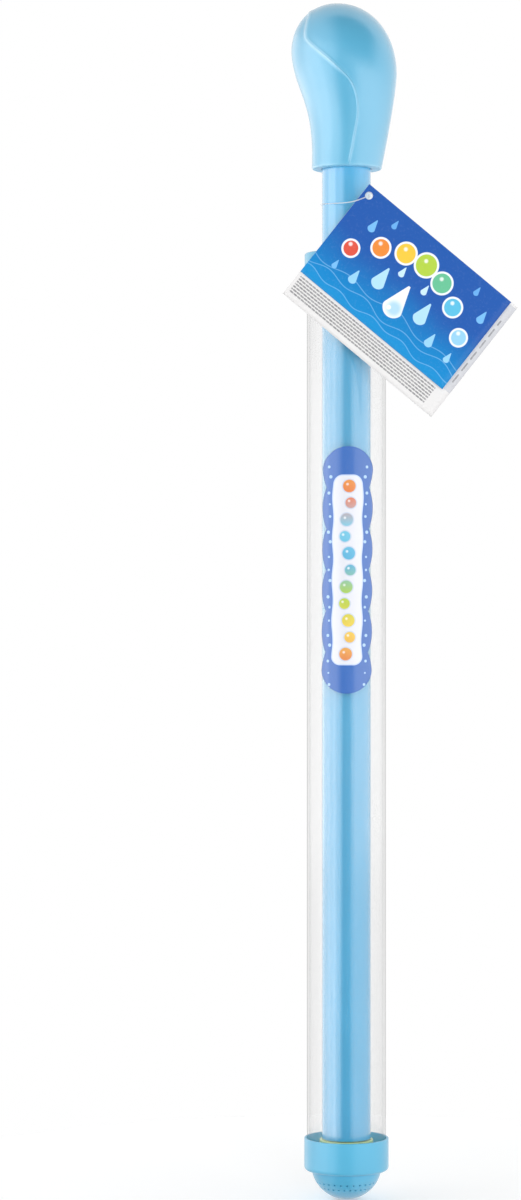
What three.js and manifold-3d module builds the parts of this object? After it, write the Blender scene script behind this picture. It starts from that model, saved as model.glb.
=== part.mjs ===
// A hand-pumped water squirter: a clear barrel with a spray nozzle below, a plunger with a knob handle
// above, a printed label on the barrel and a card tag looped round the plunger rod.
// Millimetres, +Z up along the barrel's axis, the front towards -Y.
// The origin is on the axis, halfway up the barrel, where a hand or a tube clip holds it.
import * as THREE from "three";
import { mergeVertices } from "three/addons/utils/BufferGeometryUtils.js";
import Module from "manifold-3d";

const wasm = await Module();
wasm.setup();

// Barrel and its guide cap
const BARREL_OUTER = 39.5;
const BARREL_WALL = 1.2;
const BARREL_LENGTH = 451.5;
const CAP_WALL = 0.95;
const CAP_PLATE = 2.8;
const CAP_SKIRT = 13.5;
const CAP_EDGE = 0.6;
const GUIDE_WALL = 2.6;
const GUIDE_LENGTH = 9;

// Nozzle: a collar glued round the barrel's end, which holds the spray dome
const COLLAR_WALL = 1.15;
const COLLAR_HEIGHT = 16.2;
const COLLAR_LIP = 1.2;
const COLLAR_ROUND = 2.2;
const DOME_STEP_IN = 2.05;
const DOME_WALL = 1.7;
const DOME_PROJECTION = 14.6;
const DOME_FLANGE = 1.5;
const SPRAY_HOLE = 1.0;
const SPRAY_HOLES_PER_RING = 30;
const SPRAY_RING_DIPS = [29.5, 40];

// Plunger: a hollow rod on a piston
const ROD_OUTER = 24.5;
const ROD_WALL = 1.4;
const ROD_EXPOSED = 42;
const ROD_GRIP = 40;
const PISTON_FOOT = 1.6;
const PISTON_SHOULDER = 1.2;
const PISTON_HUB = 6.1;
const HUB_STEP = 1.15;
const SPIGOT_LENGTH = 20;
const SEAL_SECTION = 2.6;

// Handle: two hollow shells that meet on an S-shaped seam
const HANDLE_LENGTH = 84;
const HANDLE_RIM_LEFT = 4.65;
const HANDLE_RIM_RIGHT = 4.85;
const HANDLE_BELLY_LEFT = 27.7;
const HANDLE_BELLY_RIGHT = 24.6;
const BELLY_LEFT_SHARE = 0.69;
const BELLY_RIGHT_SHARE = 0.595;
const HANDLE_TIP_LEAN = 4.8;
const HANDLE_DEPTH_RATIO = 0.97;
const HANDLE_WALL = 2.2;
const HANDLE_CROWN = 3.2;
const HANDLE_FLOOR = 3;
const HANDLE_EDGE = 1.2;
const RIB_THICKNESS = 2;
const SEAM_TOP_REACH = 21.4;
const SEAM_SWELL = 5.1;

// Label stuck on the barrel, with scalloped sides
const LABEL_LENGTH = 122.3;
const LABEL_WIDTH = 26.6;
const LABEL_WAIST = 23.6;
const LABEL_LOBES = 6;
const LABEL_THICKNESS = 0.3;
const LABEL_DROP = 93.8;

// Card tag and the plastic loop that ties it round the rod
const TAG_COVER_WIDTH = 91;
const TAG_COVER_HEIGHT = 53.8;
const TAG_LEAF_WIDTH = 95.2;
const TAG_LEAF_HEIGHT = 67.4;
const TAG_CARD = 0.45;
const TAG_DIP = 39.8;
const TAG_HOLE = 3.4;
const TAG_HOLE_FROM_SPINE = 3.5;
const TAG_HOLE_FROM_TOP = 4.6;
const TAG_HOLE_SIDE = 10.5;
const TAG_HOLE_DROP = 16;
const LOOP_THICKNESS = 1;
const LOOP_FALL = 2.2;
const LOOP_HEAD = 4;
const LOOP_HEAD_THICKNESS = 1.3;

// Fits: still seats, glued sleeves, running surfaces and the loose loop
const SEAT_GAP = 0.3;
const GLUE_GAP = 0.2;
const RUNNING_GAP = 0.3;
const PISTON_GAP = 0.45;
const SEAL_GAP = 0.25;
const SEAM_GAP = 0.4;
const LOOP_GAP = 0.5;
const TAG_GAP = 0.5;

// Fineness of the faceted surfaces
const SIDES = 36;
const ARC_STEPS = 2;
const SEAL_STEPS = 8;
const DOME_STEPS = 8;
const HANDLE_SIDES = 28;
const HANDLE_RINGS = 17;
const HOLE_SIDES = 6;
const LOOP_SIDES = 6;
const LOOP_STEPS = 40;
const LABEL_COLUMNS = 4;
const LABEL_ROWS_PER_LOBE = 5;

// Radii that several pieces share
const barrelRadius = BARREL_OUTER / 2;
const boreRadius = barrelRadius - BARREL_WALL;
const rodRadius = ROD_OUTER / 2;
const rodHole = rodRadius + RUNNING_GAP;
const domeRadius = barrelRadius - DOME_STEP_IN;
const handleBaseLeft = rodHole + HANDLE_RIM_LEFT;
const handleBaseRight = rodHole + HANDLE_RIM_RIGHT;
const capRadius = barrelRadius + GLUE_GAP + CAP_WALL;
const collarRadius = barrelRadius + GLUE_GAP + COLLAR_WALL;

// Heights above the dome's lowest point, with the plunger pushed in
const lipTop = DOME_PROJECTION + COLLAR_LIP;
const flangeBottom = lipTop + SEAT_GAP;
const flangeTop = flangeBottom + DOME_FLANGE;
const barrelBottom = flangeTop + SEAT_GAP;
const barrelTop = barrelBottom + BARREL_LENGTH;
const capTop = barrelTop + SEAT_GAP + CAP_PLATE;
const pistonBottom = flangeTop + PISTON_GAP;
const grooveBottom = pistonBottom + PISTON_FOOT;
const grooveTop = grooveBottom + SEAL_SECTION + 2 * SEAL_GAP;
const hubBottom = grooveTop + PISTON_SHOULDER;
const hubTop = hubBottom + PISTON_HUB;
const handleBase = capTop + ROD_EXPOSED;
const rodTop = handleBase + ROD_GRIP;
const tagHoleHeight = handleBase - TAG_HOLE_DROP;
const originHeight = barrelBottom + BARREL_LENGTH / 2;

// Distances of the tag's layers in front of the axis, from the guide cap outwards
const leafBack = Math.max(capRadius, collarRadius) + TAG_GAP;
const coverBack = leafBack + TAG_CARD + SEAT_GAP;
const headBack = coverBack + TAG_CARD + SEAT_GAP;

const plastic = (color, roughness = 0.3) => new THREE.MeshStandardMaterial({ color, roughness });
const skyBlue = plastic(0x5ab2df);
const clear = new THREE.MeshPhysicalMaterial({ color: 0xf2f6f8, roughness: 0.08, transmission: 0.95 });
const paleYellow = plastic(0xe6e06a, 0.45);
const sealRubber = plastic(0x2b2d30, 0.7);
const printedFilm = plastic(0x5f82cf, 0.35);
const printedCard = plastic(0x2167c0, 0.4);
const whiteCard = plastic(0xf1efec, 0.7);
const loopPlastic = plastic(0xf4f7fa, 0.35);

// A closed geometry as a solid that can be joined and cut.
function solid(geometry) {
  const bare = geometry.clone();
  bare.deleteAttribute("normal");
  bare.deleteAttribute("uv");
  const merged = mergeVertices(bare, 1e-4);
  const vertProperties = merged.attributes.position.array;
  const triVerts = new Uint32Array(merged.index.array);
  return new wasm.Manifold(new wasm.Mesh({ numProp: 3, vertProperties, triVerts }));
}

// A joined or cut solid as a geometry.
function geometryOf(made) {
  const mesh = made.getMesh();
  const geometry = new THREE.BufferGeometry();
  geometry.setAttribute("position", new THREE.BufferAttribute(mesh.vertProperties, 3));
  geometry.setIndex(new THREE.BufferAttribute(mesh.triVerts, 1));
  geometry.computeVertexNormals();
  return geometry;
}

function piece(name, geometry, material) {
  const mesh = new THREE.Mesh(geometry, material);
  mesh.name = name;
  return mesh;
}

// A profile of radius and height, turned about the axis. It runs up its outer side and down its inner side.
function turned(profile) {
  return new THREE.LatheGeometry(profile.getPoints(ARC_STEPS), SIDES).rotateX(Math.PI / 2);
}

function polygon(corners) {
  const path = new THREE.Path(corners.map(([r, z]) => new THREE.Vector2(r, z)));
  path.closePath();
  return path;
}

// A straight cylinder along the axis, for cutting.
function column(radius, bottom, top, sides = SIDES) {
  return new THREE.CylinderGeometry(radius, radius, top - bottom, sides)
    .rotateX(Math.PI / 2)
    .translate(0, 0, (top + bottom) / 2);
}

// A closed skin through rings of points that all run the same way, with a flat cap on each end ring.
function skin(rings) {
  const count = rings[0].length;
  const centre = (ring) => ring.reduce((sum, p) => sum.add(p), new THREE.Vector3()).divideScalar(count);
  const points = [...rings.flat(), centre(rings[0]), centre(rings.at(-1))];
  const firstCentre = rings.length * count;
  const lastRing = firstCentre - count;
  const index = [];
  for (let i = 0; i < count; i++) {
    const j = (i + 1) % count;
    for (let row = 0; row < lastRing; row += count) {
      index.push(row + i, row + j, row + count + j, row + i, row + count + j, row + count + i);
    }
    index.push(firstCentre, j, i, firstCentre + 1, lastRing + i, lastRing + j);
  }
  return new THREE.BufferGeometry().setFromPoints(points).setIndex(index);
}

function barrelTube() {
  return turned(
    polygon([
      [barrelRadius, barrelBottom],
      [barrelRadius, barrelTop],
      [boreRadius, barrelTop],
      [boreRadius, barrelBottom],
    ]),
  );
}

// The guide cap: a skirt round the barrel's top, a plate across it and a boss inside that guides the rod.
function guideCap() {
  const skirtInner = barrelRadius + GLUE_GAP;
  const plateBottom = capTop - CAP_PLATE;
  const skirtBottom = plateBottom - CAP_SKIRT;
  const boss = Math.min(rodHole + GUIDE_WALL, boreRadius - SEAT_GAP);
  return turned(
    polygon([
      [capRadius, skirtBottom],
      [capRadius, capTop - CAP_EDGE],
      [capRadius - CAP_EDGE, capTop],
      [rodHole, capTop],
      [rodHole, plateBottom - GUIDE_LENGTH],
      [boss, plateBottom - GUIDE_LENGTH],
      [boss, plateBottom],
      [skirtInner, plateBottom],
      [skirtInner, skirtBottom],
    ]),
  );
}

// Where the dome passes a height, its outer radius.
const domeReach = (height) => Math.sqrt(domeRadius ** 2 - (domeRadius - height) ** 2);

// The nozzle collar: a sleeve round the barrel's end with a lip below that the dome's flange rests on.
function nozzleCollar() {
  const sleeveInner = barrelRadius + GLUE_GAP;
  const lipHole = domeReach(Math.min(lipTop, domeRadius)) + RUNNING_GAP;
  const profile = new THREE.Path();
  profile.moveTo(collarRadius - COLLAR_ROUND, DOME_PROJECTION);
  profile.absarc(
    collarRadius - COLLAR_ROUND,
    DOME_PROJECTION + COLLAR_ROUND,
    COLLAR_ROUND,
    -Math.PI / 2,
    0,
    false,
  );
  profile.lineTo(collarRadius, DOME_PROJECTION + COLLAR_HEIGHT);
  profile.lineTo(sleeveInner, DOME_PROJECTION + COLLAR_HEIGHT);
  profile.lineTo(sleeveInner, lipTop);
  profile.lineTo(lipHole, lipTop);
  profile.lineTo(lipHole, DOME_PROJECTION);
  profile.closePath();
  return turned(profile);
}

// Points on the dome's round section, between two angles above its equator.
function domeArc(radius, from, to) {
  return Array.from({ length: DOME_STEPS + 1 }, (_, k) => {
    const rise = from + ((to - from) * k) / DOME_STEPS;
    const reach = Math.abs(rise) < Math.PI / 2 ? radius * Math.cos(rise) : 0;
    return new THREE.Vector2(reach, domeRadius + radius * Math.sin(rise));
  });
}

// The spray dome: a round shell with a flange on top, pierced by rings of holes that point outwards.
function sprayDome() {
  const inner = domeRadius - DOME_WALL;
  const flangeRadius = barrelRadius - SEAT_GAP;
  const shoulderOuter = Math.asin((flangeBottom - domeRadius) / domeRadius);
  const shoulderInner = Math.min(Math.asin((flangeTop - domeRadius) / inner), 0);
  const tip = -Math.PI / 2;
  const section = [
    ...domeArc(domeRadius, tip, shoulderOuter),
    new THREE.Vector2(flangeRadius, flangeBottom),
    new THREE.Vector2(flangeRadius, flangeTop),
    new THREE.Vector2(inner * Math.cos(shoulderInner), flangeTop),
    ...domeArc(inner, shoulderInner, tip),
  ];
  const shell = new THREE.LatheGeometry(section, SPRAY_HOLES_PER_RING).rotateX(Math.PI / 2);
  let dome = solid(shell);
  SPRAY_RING_DIPS.forEach((dip, ring) => {
    for (let k = 0; k < SPRAY_HOLES_PER_RING; k++) {
      const turn = ((k + ring / 2) / SPRAY_HOLES_PER_RING) * 2 * Math.PI;
      const drill = new THREE.CylinderGeometry(SPRAY_HOLE / 2, SPRAY_HOLE / 2, 3 * DOME_WALL, HOLE_SIDES)
        .rotateZ(-Math.PI / 2)
        .translate(domeRadius - DOME_WALL / 2, 0, 0)
        .rotateY(THREE.MathUtils.degToRad(dip))
        .rotateZ(turn - Math.PI / 2)
        .translate(0, 0, domeRadius);
      dome = dome.subtract(solid(drill));
    }
  });
  return geometryOf(dome);
}

// The piston: two discs with the seal's groove between them, a hub under the rod and a spigot up inside it.
function pistonCore() {
  const disc = boreRadius - PISTON_GAP;
  const grooveRadius = boreRadius - 2 * SEAL_GAP - SEAL_SECTION;
  const spigot = rodRadius - ROD_WALL - SEAT_GAP;
  return turned(
    polygon([
      [0, pistonBottom],
      [disc, pistonBottom],
      [disc, grooveBottom],
      [grooveRadius, grooveBottom],
      [grooveRadius, grooveTop],
      [disc, grooveTop],
      [disc, hubBottom],
      [rodRadius + HUB_STEP, hubBottom],
      [rodRadius + HUB_STEP, hubTop],
      [spigot, hubTop],
      [spigot, hubTop + SPIGOT_LENGTH],
      [0, hubTop + SPIGOT_LENGTH],
    ]),
  );
}

function pistonSeal() {
  const radius = SEAL_SECTION / 2;
  const middle = boreRadius - SEAL_GAP - radius;
  const section = [];
  for (let k = 0; k <= SEAL_STEPS; k++) {
    const turn = ((k % SEAL_STEPS) / SEAL_STEPS) * 2 * Math.PI;
    const height = (grooveBottom + grooveTop) / 2 + radius * Math.sin(turn);
    section.push(new THREE.Vector2(middle + radius * Math.cos(turn), height));
  }
  return new THREE.LatheGeometry(section, SIDES).rotateX(Math.PI / 2);
}

function plungerRod() {
  return turned(
    polygon([
      [rodRadius, hubTop + SEAT_GAP],
      [rodRadius, rodTop],
      [rodRadius - ROD_WALL, rodTop],
      [rodRadius - ROD_WALL, hubTop + SEAT_GAP],
    ]),
  );
}

// One side of the handle's outline, from its base past the belly to the tip: x and height above the base.
// side is -1 on the left and 1 on the right. waistPull and bellyPull set how late the side swells.
function handleSide(side, base, belly, bellyShare, waistPull, bellyPull) {
  const bellyHeight = bellyShare * HANDLE_LENGTH;
  const tip = new THREE.Vector2(-HANDLE_TIP_LEAN, HANDLE_LENGTH);
  const widest = new THREE.Vector2(side * belly, bellyHeight);
  const rise = HANDLE_LENGTH - bellyHeight;
  const lower = new THREE.CubicBezierCurve(
    new THREE.Vector2(side * base, HANDLE_EDGE),
    new THREE.Vector2(side * (base + waistPull * (belly - base)), bellyHeight * 0.4),
    new THREE.Vector2(side * (belly - bellyPull * (belly - base)), bellyHeight * 0.72),
    widest,
  );
  const upper = new THREE.CubicBezierCurve(
    widest,
    new THREE.Vector2(side * belly, bellyHeight + rise * 0.56),
    new THREE.Vector2(tip.x + (widest.x - tip.x) * 0.6, tip.y),
    tip,
  );
  const outline = new THREE.CurvePath();
  outline.add(lower);
  outline.add(upper);
  return outline;
}

const handleLeft = handleSide(-1, handleBaseLeft, HANDLE_BELLY_LEFT, BELLY_LEFT_SHARE, -0.12, 0.16);
const handleRight = handleSide(1, handleBaseRight, HANDLE_BELLY_RIGHT, BELLY_RIGHT_SHARE, 0.45, 0);

// A ring of the handle between two points of its outline, drawn in by inset on every side.
function handleRing(left, right, inset) {
  const middle = left.clone().add(right).divideScalar(2);
  const half = right.clone().sub(left).divideScalar(2);
  const width = half.length();
  const across = half.setLength(width - inset);
  const depth = width * HANDLE_DEPTH_RATIO - inset;
  return Array.from({ length: HANDLE_SIDES }, (_, k) => {
    const turn = ((k + 0.5) / HANDLE_SIDES) * 2 * Math.PI;
    const x = middle.x + across.x * Math.cos(turn);
    const z = handleBase + middle.y + across.y * Math.cos(turn);
    return new THREE.Vector3(x, depth * Math.sin(turn), z);
  });
}

// Shares of the outline's run where the handle's rings lie, closer together towards the tip.
const handleShares = Array.from({ length: HANDLE_RINGS }, (_, k) =>
  Math.sin((((k + 0.02) / (HANDLE_RINGS - 0.6)) * Math.PI) / 2),
);

function handleOutside() {
  const foot = handleRing(
    new THREE.Vector2(-handleBaseLeft + HANDLE_EDGE, 0),
    new THREE.Vector2(handleBaseRight - HANDLE_EDGE, 0),
    0,
  );
  const rings = handleShares.map((share) =>
    handleRing(handleLeft.getPoint(share), handleRight.getPoint(share), 0),
  );
  return solid(skin([foot, ...rings]));
}

// The handle's hollow: its outside drawn in by the wall, from floor to crown, less the ribs across it.
function handleHollow() {
  const inside = handleShares
    .map((share) => [handleLeft.getPoint(share), handleRight.getPoint(share)])
    .filter(([left, right]) => Math.max(left.y, right.y) < HANDLE_LENGTH - HANDLE_CROWN)
    .map(([left, right]) => handleRing(left, right, HANDLE_WALL));
  let hollow = solid(skin(inside));
  const wide = 4 * (HANDLE_BELLY_LEFT + HANDLE_BELLY_RIGHT);
  const slab = (bottom, top) =>
    solid(new THREE.BoxGeometry(wide, wide, top - bottom).translate(0, 0, handleBase + (top + bottom) / 2));
  hollow = hollow.subtract(slab(-HANDLE_FLOOR, HANDLE_FLOOR));
  const midRib = (HANDLE_FLOOR + ROD_GRIP) / 2;
  hollow = hollow.subtract(slab(midRib - RIB_THICKNESS, midRib));
  return hollow.subtract(slab(ROD_GRIP - RIB_THICKNESS, ROD_GRIP + SEAT_GAP + RIB_THICKNESS));
}

// The space on one side of the S-shaped seam, as a solid that reaches past the handle.
function seamSide(side) {
  const shift = (side * SEAM_GAP) / 2 / Math.SQRT2;
  const run = [
    [0, -HANDLE_FLOOR],
    [SEAM_SWELL * 0.62, HANDLE_LENGTH * 0.165],
    [SEAM_SWELL, HANDLE_LENGTH * 0.335],
    [SEAM_SWELL * 0.42, HANDLE_LENGTH * 0.48],
    [-SEAM_TOP_REACH * 0.34, HANDLE_LENGTH * 0.595],
    [-SEAM_TOP_REACH * 0.89, HANDLE_LENGTH * 0.724],
    [-SEAM_TOP_REACH, HANDLE_LENGTH * 0.79],
    [-SEAM_TOP_REACH * 0.9, HANDLE_LENGTH * 0.92],
    [-SEAM_TOP_REACH * 0.75, HANDLE_LENGTH * 1.1],
  ].map(([x, height]) => new THREE.Vector2(x + shift, height + shift));
  const far = side * 2 * HANDLE_LENGTH;
  const outline = new THREE.Shape();
  outline.moveTo(run[0].x, run[0].y);
  outline.splineThru(run.slice(1));
  outline.lineTo(far, run.at(-1).y);
  outline.lineTo(far, run[0].y);
  outline.closePath();
  const deep = 4 * HANDLE_BELLY_LEFT;
  const block = new THREE.ExtrudeGeometry(outline, {
    depth: deep,
    curveSegments: ARC_STEPS,
    bevelEnabled: false,
  });
  return solid(block.rotateX(Math.PI / 2).translate(0, deep / 2, handleBase));
}

const handleBore = solid(column(rodHole, handleBase - HANDLE_FLOOR, rodTop + SEAT_GAP));
const handleShell = handleOutside().subtract(handleHollow()).subtract(handleBore);

function handleHalf(side) {
  return geometryOf(handleShell.intersect(seamSide(side)));
}

// Half the label's width at a distance from its end: a round end, then scallops between the waists.
function labelHalfWidth(along) {
  const lobe = LABEL_LENGTH / LABEL_LOBES;
  const fromEnd = Math.min(along, LABEL_LENGTH - along);
  if (fromEnd < lobe / 2) {
    return (LABEL_WIDTH / 2) * Math.sqrt(1 - (1 - fromEnd / (lobe / 2)) ** 2);
  }
  const swell = Math.sqrt(Math.abs(Math.sin((Math.PI * along) / lobe)));
  return (LABEL_WAIST + (LABEL_WIDTH - LABEL_WAIST) * swell) / 2;
}

// The label: a thin plate with that outline, wrapped round the front of the barrel.
function barrelLabel() {
  const inner = barrelRadius + SEAT_GAP;
  const rows = LABEL_LOBES * LABEL_ROWS_PER_LOBE;
  const top = barrelTop - LABEL_DROP;
  const rings = [];
  for (let row = 0; row <= rows; row++) {
    const ease = (1 - Math.cos((Math.PI * row) / rows)) / 2;
    const share = THREE.MathUtils.clamp((ease + row / rows) / 2, 0.002, 0.998);
    const along = share * LABEL_LENGTH;
    const reach = labelHalfWidth(along) / inner;
    const ring = [];
    for (const radius of [inner, inner + LABEL_THICKNESS]) {
      const strip = [];
      for (let column = 0; column <= LABEL_COLUMNS; column++) {
        const turn = reach * ((2 * column) / LABEL_COLUMNS - 1);
        strip.push(new THREE.Vector3(radius * Math.sin(turn), -radius * Math.cos(turn), top - along));
      }
      ring.push(...(radius === inner ? strip : strip.reverse()));
    }
    rings.push(ring);
  }
  return skin(rings);
}

// A card of the tag. Its local origin is the hole near its top corner; back is its distance from the axis.
function tagCard(width, height, back) {
  const left = -TAG_HOLE_FROM_SPINE;
  const top = TAG_HOLE_FROM_TOP;
  const outline = new THREE.Shape();
  outline.moveTo(left, top - height);
  outline.lineTo(left + width, top - height);
  outline.lineTo(left + width, top);
  outline.lineTo(left, top);
  outline.closePath();
  outline.holes.push(new THREE.Path().absarc(0, 0, TAG_HOLE / 2, 0, 2 * Math.PI, true));
  const card = new THREE.ExtrudeGeometry(outline, {
    depth: TAG_CARD,
    curveSegments: LOOP_SIDES,
    bevelEnabled: false,
  });
  return card.rotateX(Math.PI / 2).translate(0, -back, 0);
}

// The loop's route: out of the head's left side, past the card's edge, round the rod and back into the hole.
function loopRoute() {
  const radius = rodRadius + LOOP_GAP + LOOP_THICKNESS / 2;
  const head = new THREE.Vector3(TAG_HOLE_SIDE, -headBack - LOOP_HEAD_THICKNESS / 2, tagHoleHeight);
  const clearOfCard = TAG_HOLE_FROM_SPINE + TAG_HOLE_FROM_TOP;
  const points = [
    head,
    head.clone().add(new THREE.Vector3(-LOOP_HEAD, -LOOP_THICKNESS / 4, -LOOP_FALL * 0.2)),
    head.clone().add(new THREE.Vector3(-clearOfCard, LOOP_THICKNESS, -LOOP_FALL * 0.4)),
  ];
  for (let turn = 210; turn >= 0; turn -= 30) {
    const angle = THREE.MathUtils.degToRad(turn);
    const fall = LOOP_FALL * Math.min(1, 0.5 + 0.5 * Math.sin(angle / 2));
    const height = tagHoleHeight - fall;
    points.push(new THREE.Vector3(radius * Math.cos(angle), radius * Math.sin(angle), height));
  }
  points.push(new THREE.Vector3(TAG_HOLE_SIDE, -leafBack + 2 * LOOP_THICKNESS, tagHoleHeight));
  points.push(head.clone());
  return new THREE.CatmullRomCurve3(points, false, "centripetal");
}

function tagFastener() {
  const section = new THREE.Shape().absarc(0, 0, LOOP_THICKNESS / 2, 0, 2 * Math.PI, false);
  const loop = new THREE.ExtrudeGeometry(section, {
    extrudePath: loopRoute(),
    steps: LOOP_STEPS,
    curveSegments: LOOP_SIDES / 2,
    bevelEnabled: false,
  });
  const headRadius = LOOP_HEAD / 2;
  const head = new THREE.CylinderGeometry(headRadius, headRadius, LOOP_HEAD_THICKNESS, 2 * LOOP_SIDES);
  head.translate(TAG_HOLE_SIDE, -headBack - LOOP_HEAD_THICKNESS / 2, tagHoleHeight);
  return geometryOf(solid(loop).add(solid(head)));
}

const tagCards = new THREE.Group();
tagCards.position.set(TAG_HOLE_SIDE, 0, tagHoleHeight);
tagCards.rotation.y = THREE.MathUtils.degToRad(TAG_DIP);
tagCards.add(
  piece("tag_leaf", tagCard(TAG_LEAF_WIDTH, TAG_LEAF_HEIGHT, leafBack), whiteCard),
  piece("tag_cover", tagCard(TAG_COVER_WIDTH, TAG_COVER_HEIGHT, coverBack), printedCard),
);

const squirter = new THREE.Group();
squirter.add(
  piece("barrel_tube", barrelTube(), clear),
  piece("guide_cap", guideCap(), skyBlue),
  piece("nozzle_collar", nozzleCollar(), skyBlue),
  piece("spray_dome", sprayDome(), skyBlue),
  piece("barrel_label", barrelLabel(), printedFilm),
  piece("piston_core", pistonCore(), paleYellow),
  piece("piston_seal", pistonSeal(), sealRubber),
  piece("plunger_rod", plungerRod(), skyBlue),
  piece("handle_left_shell", handleHalf(-1), skyBlue),
  piece("handle_right_shell", handleHalf(1), skyBlue),
  piece("tag_fastener", tagFastener(), loopPlastic),
  tagCards,
);
squirter.position.z = -originHeight;

const part = new THREE.Group();
part.add(squirter);
export default part;
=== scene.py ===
import math
from functools import partialmethod

import bmesh
import bpy
import numpy as np
from bpy.props import FloatProperty, FloatVectorProperty, PointerProperty
from bpy.types import Operator, Panel, PropertyGroup
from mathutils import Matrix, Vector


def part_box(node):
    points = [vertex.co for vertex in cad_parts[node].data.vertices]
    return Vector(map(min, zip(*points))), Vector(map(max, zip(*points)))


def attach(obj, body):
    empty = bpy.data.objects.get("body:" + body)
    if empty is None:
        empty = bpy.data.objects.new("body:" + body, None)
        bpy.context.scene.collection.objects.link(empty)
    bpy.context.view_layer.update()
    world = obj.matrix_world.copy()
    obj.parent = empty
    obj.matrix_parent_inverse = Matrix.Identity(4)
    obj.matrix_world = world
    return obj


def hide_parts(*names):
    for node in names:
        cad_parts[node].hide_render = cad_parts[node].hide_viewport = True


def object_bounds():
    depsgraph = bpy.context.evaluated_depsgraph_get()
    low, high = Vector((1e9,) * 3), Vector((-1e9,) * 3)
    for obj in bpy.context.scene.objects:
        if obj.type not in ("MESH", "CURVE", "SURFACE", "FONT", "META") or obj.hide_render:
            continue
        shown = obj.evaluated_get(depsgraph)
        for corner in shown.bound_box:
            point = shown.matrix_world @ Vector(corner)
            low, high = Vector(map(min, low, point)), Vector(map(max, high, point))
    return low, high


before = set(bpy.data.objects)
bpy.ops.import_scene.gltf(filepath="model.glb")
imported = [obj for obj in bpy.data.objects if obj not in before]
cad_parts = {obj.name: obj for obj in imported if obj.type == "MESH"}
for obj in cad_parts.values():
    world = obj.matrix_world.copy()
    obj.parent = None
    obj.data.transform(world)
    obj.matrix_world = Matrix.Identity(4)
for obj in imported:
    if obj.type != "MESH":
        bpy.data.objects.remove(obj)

bl_info = {
    "name": "Water squirter surfaces",
    "version": (1, 0, 0),
    "blender": (4, 5, 0),
    "location": "3D View > Sidebar > Squirter",
    "description": "Builds the finished surfaces of a hand-pumped water squirter on its packed solids",
    "category": "Object",
}

CAD_BOX = [list(corner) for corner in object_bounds()]
MM = 0.001
FULL_TURN = 2 * math.pi
WHITE = (1.0, 1.0, 1.0, 1.0)
EVEN = (1.0, 1.0, 1.0)
SKIN_IOR = 1.6  # Of polished plastic and film.
BARE = 2.0  # How far the underside of a printed sheet is moved off its print, in lengths of the sheet.
MERGE = 2e-6  # Points nearer to each other than this become one.
LAMP_POWER = 4.0  # Watts for each square metre of lamp at a brightness of 1.


def linear(red, green, blue):
    """A display colour of 0 to 255 as linear light."""
    level = np.array([red, green, blue]) / 255
    light = np.where(level <= 0.04045, level / 12.92, ((level + 0.055) / 1.055) ** 2.4)
    return tuple(float(value) for value in light)


def length(label, text, millimetres):
    return FloatProperty(
        name=label, description=text, default=millimetres * MM, min=0.0, unit="LENGTH", subtype="DISTANCE"
    )


def paint(label, text, *display):
    return FloatVectorProperty(
        name=label, description=text, default=linear(*display), min=0.0, max=1.0, size=3, subtype="COLOR"
    )


def share(label, text, value):
    return FloatProperty(name=label, description=text, default=value, min=0.0, max=1.0, subtype="FACTOR")


def turn(label, text, degrees):
    return FloatProperty(
        name=label, description=text, default=math.radians(degrees), unit="ROTATION", subtype="ANGLE"
    )


# Sizes and colours


class BarrelSizes(PropertyGroup):
    """Sizes of the barrel, its mouldings, its label and the plunger inside it"""

    tube_wall: length("Tube wall", "Thickness of the clear tube", 1.2)
    cap_plate: length("Cap plate", "Thickness of the guide cap's top", 2.8)
    guide_wall: length("Guide wall", "Thickness of the boss that guides the rod", 2.6)
    guide_length: length("Guide length", "How far the boss reaches down into the tube", 9.0)
    glue_gap: length("Glue gap", "Space between the tube and the sleeves on its ends", 0.2)
    running_gap: length("Running gap", "Space round the rod in its hole", 0.3)
    collar_lip: length("Collar lip", "Thickness of the collar's lower lip", 1.2)
    collar_round: length("Collar rounding", "Rounding of the collar's lower edge", 2.2)
    dome_step: length("Dome step", "How much smaller the dome's radius is than the tube's", 2.05)
    dome_wall: length("Dome wall", "Thickness of the spray dome", 1.7)
    dome_flange: length("Dome flange", "Thickness of the dome's flange", 1.5)
    spray_hole: length("Spray hole", "Diameter of one spray hole", 1.0)
    rod_wall: length("Rod wall", "Thickness of the plunger rod's wall", 1.4)
    label_length: length("Label length", "Length of the label", 122.3)
    label_width: length("Label width", "Width of the label at its lobes", 26.6)
    label_waist: length("Label waist", "Width of the label between its lobes", 21.7)
    label_lean: length("Label lean", "How far the label's top leans to the right of its foot", 1.0)
    label_film: length("Label film", "Thickness of the label", 0.2)


class HandleSizes(PropertyGroup):
    """Sizes of the knob handle and of the raised line along its seam"""

    belly_left: length("Left belly", "Reach of the handle to the left", 27.58)
    belly_right: length("Right belly", "Reach of the handle to the right", 25.15)
    belly_left_share: share("Left belly height", "Height of the left belly, as a share of the handle", 0.708)
    belly_right_share: share("Right belly height", "Height of the right belly, as a share of the handle", 0.572)
    rim_left: length("Left rim", "Width of the base left of the rod", 4.75)
    rim_right: length("Right rim", "Width of the base right of the rod", 5.2)
    edge_round: length("Edge rounding", "Rounding of the base's edge", 1.2)
    tip_lean: length("Tip lean", "How far the tip leans to the left", 4.8)
    depth_ratio: share("Depth", "Depth of the handle, as a share of its width", 0.97)
    seam_reach: length("Seam reach", "How far the seam swings to the left near the top", 20.5)
    seam_swell: length("Seam swell", "How far the seam swings to the right below", 5.1)
    bead_height: length("Bead height", "Height of the raised line along the seam", 0.45)
    bead_width: length("Bead width", "Half width of the raised line along the seam", 0.55)
    shell_wall: length("Shell wall", "Thickness of the handle's shells", 1.6)


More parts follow.
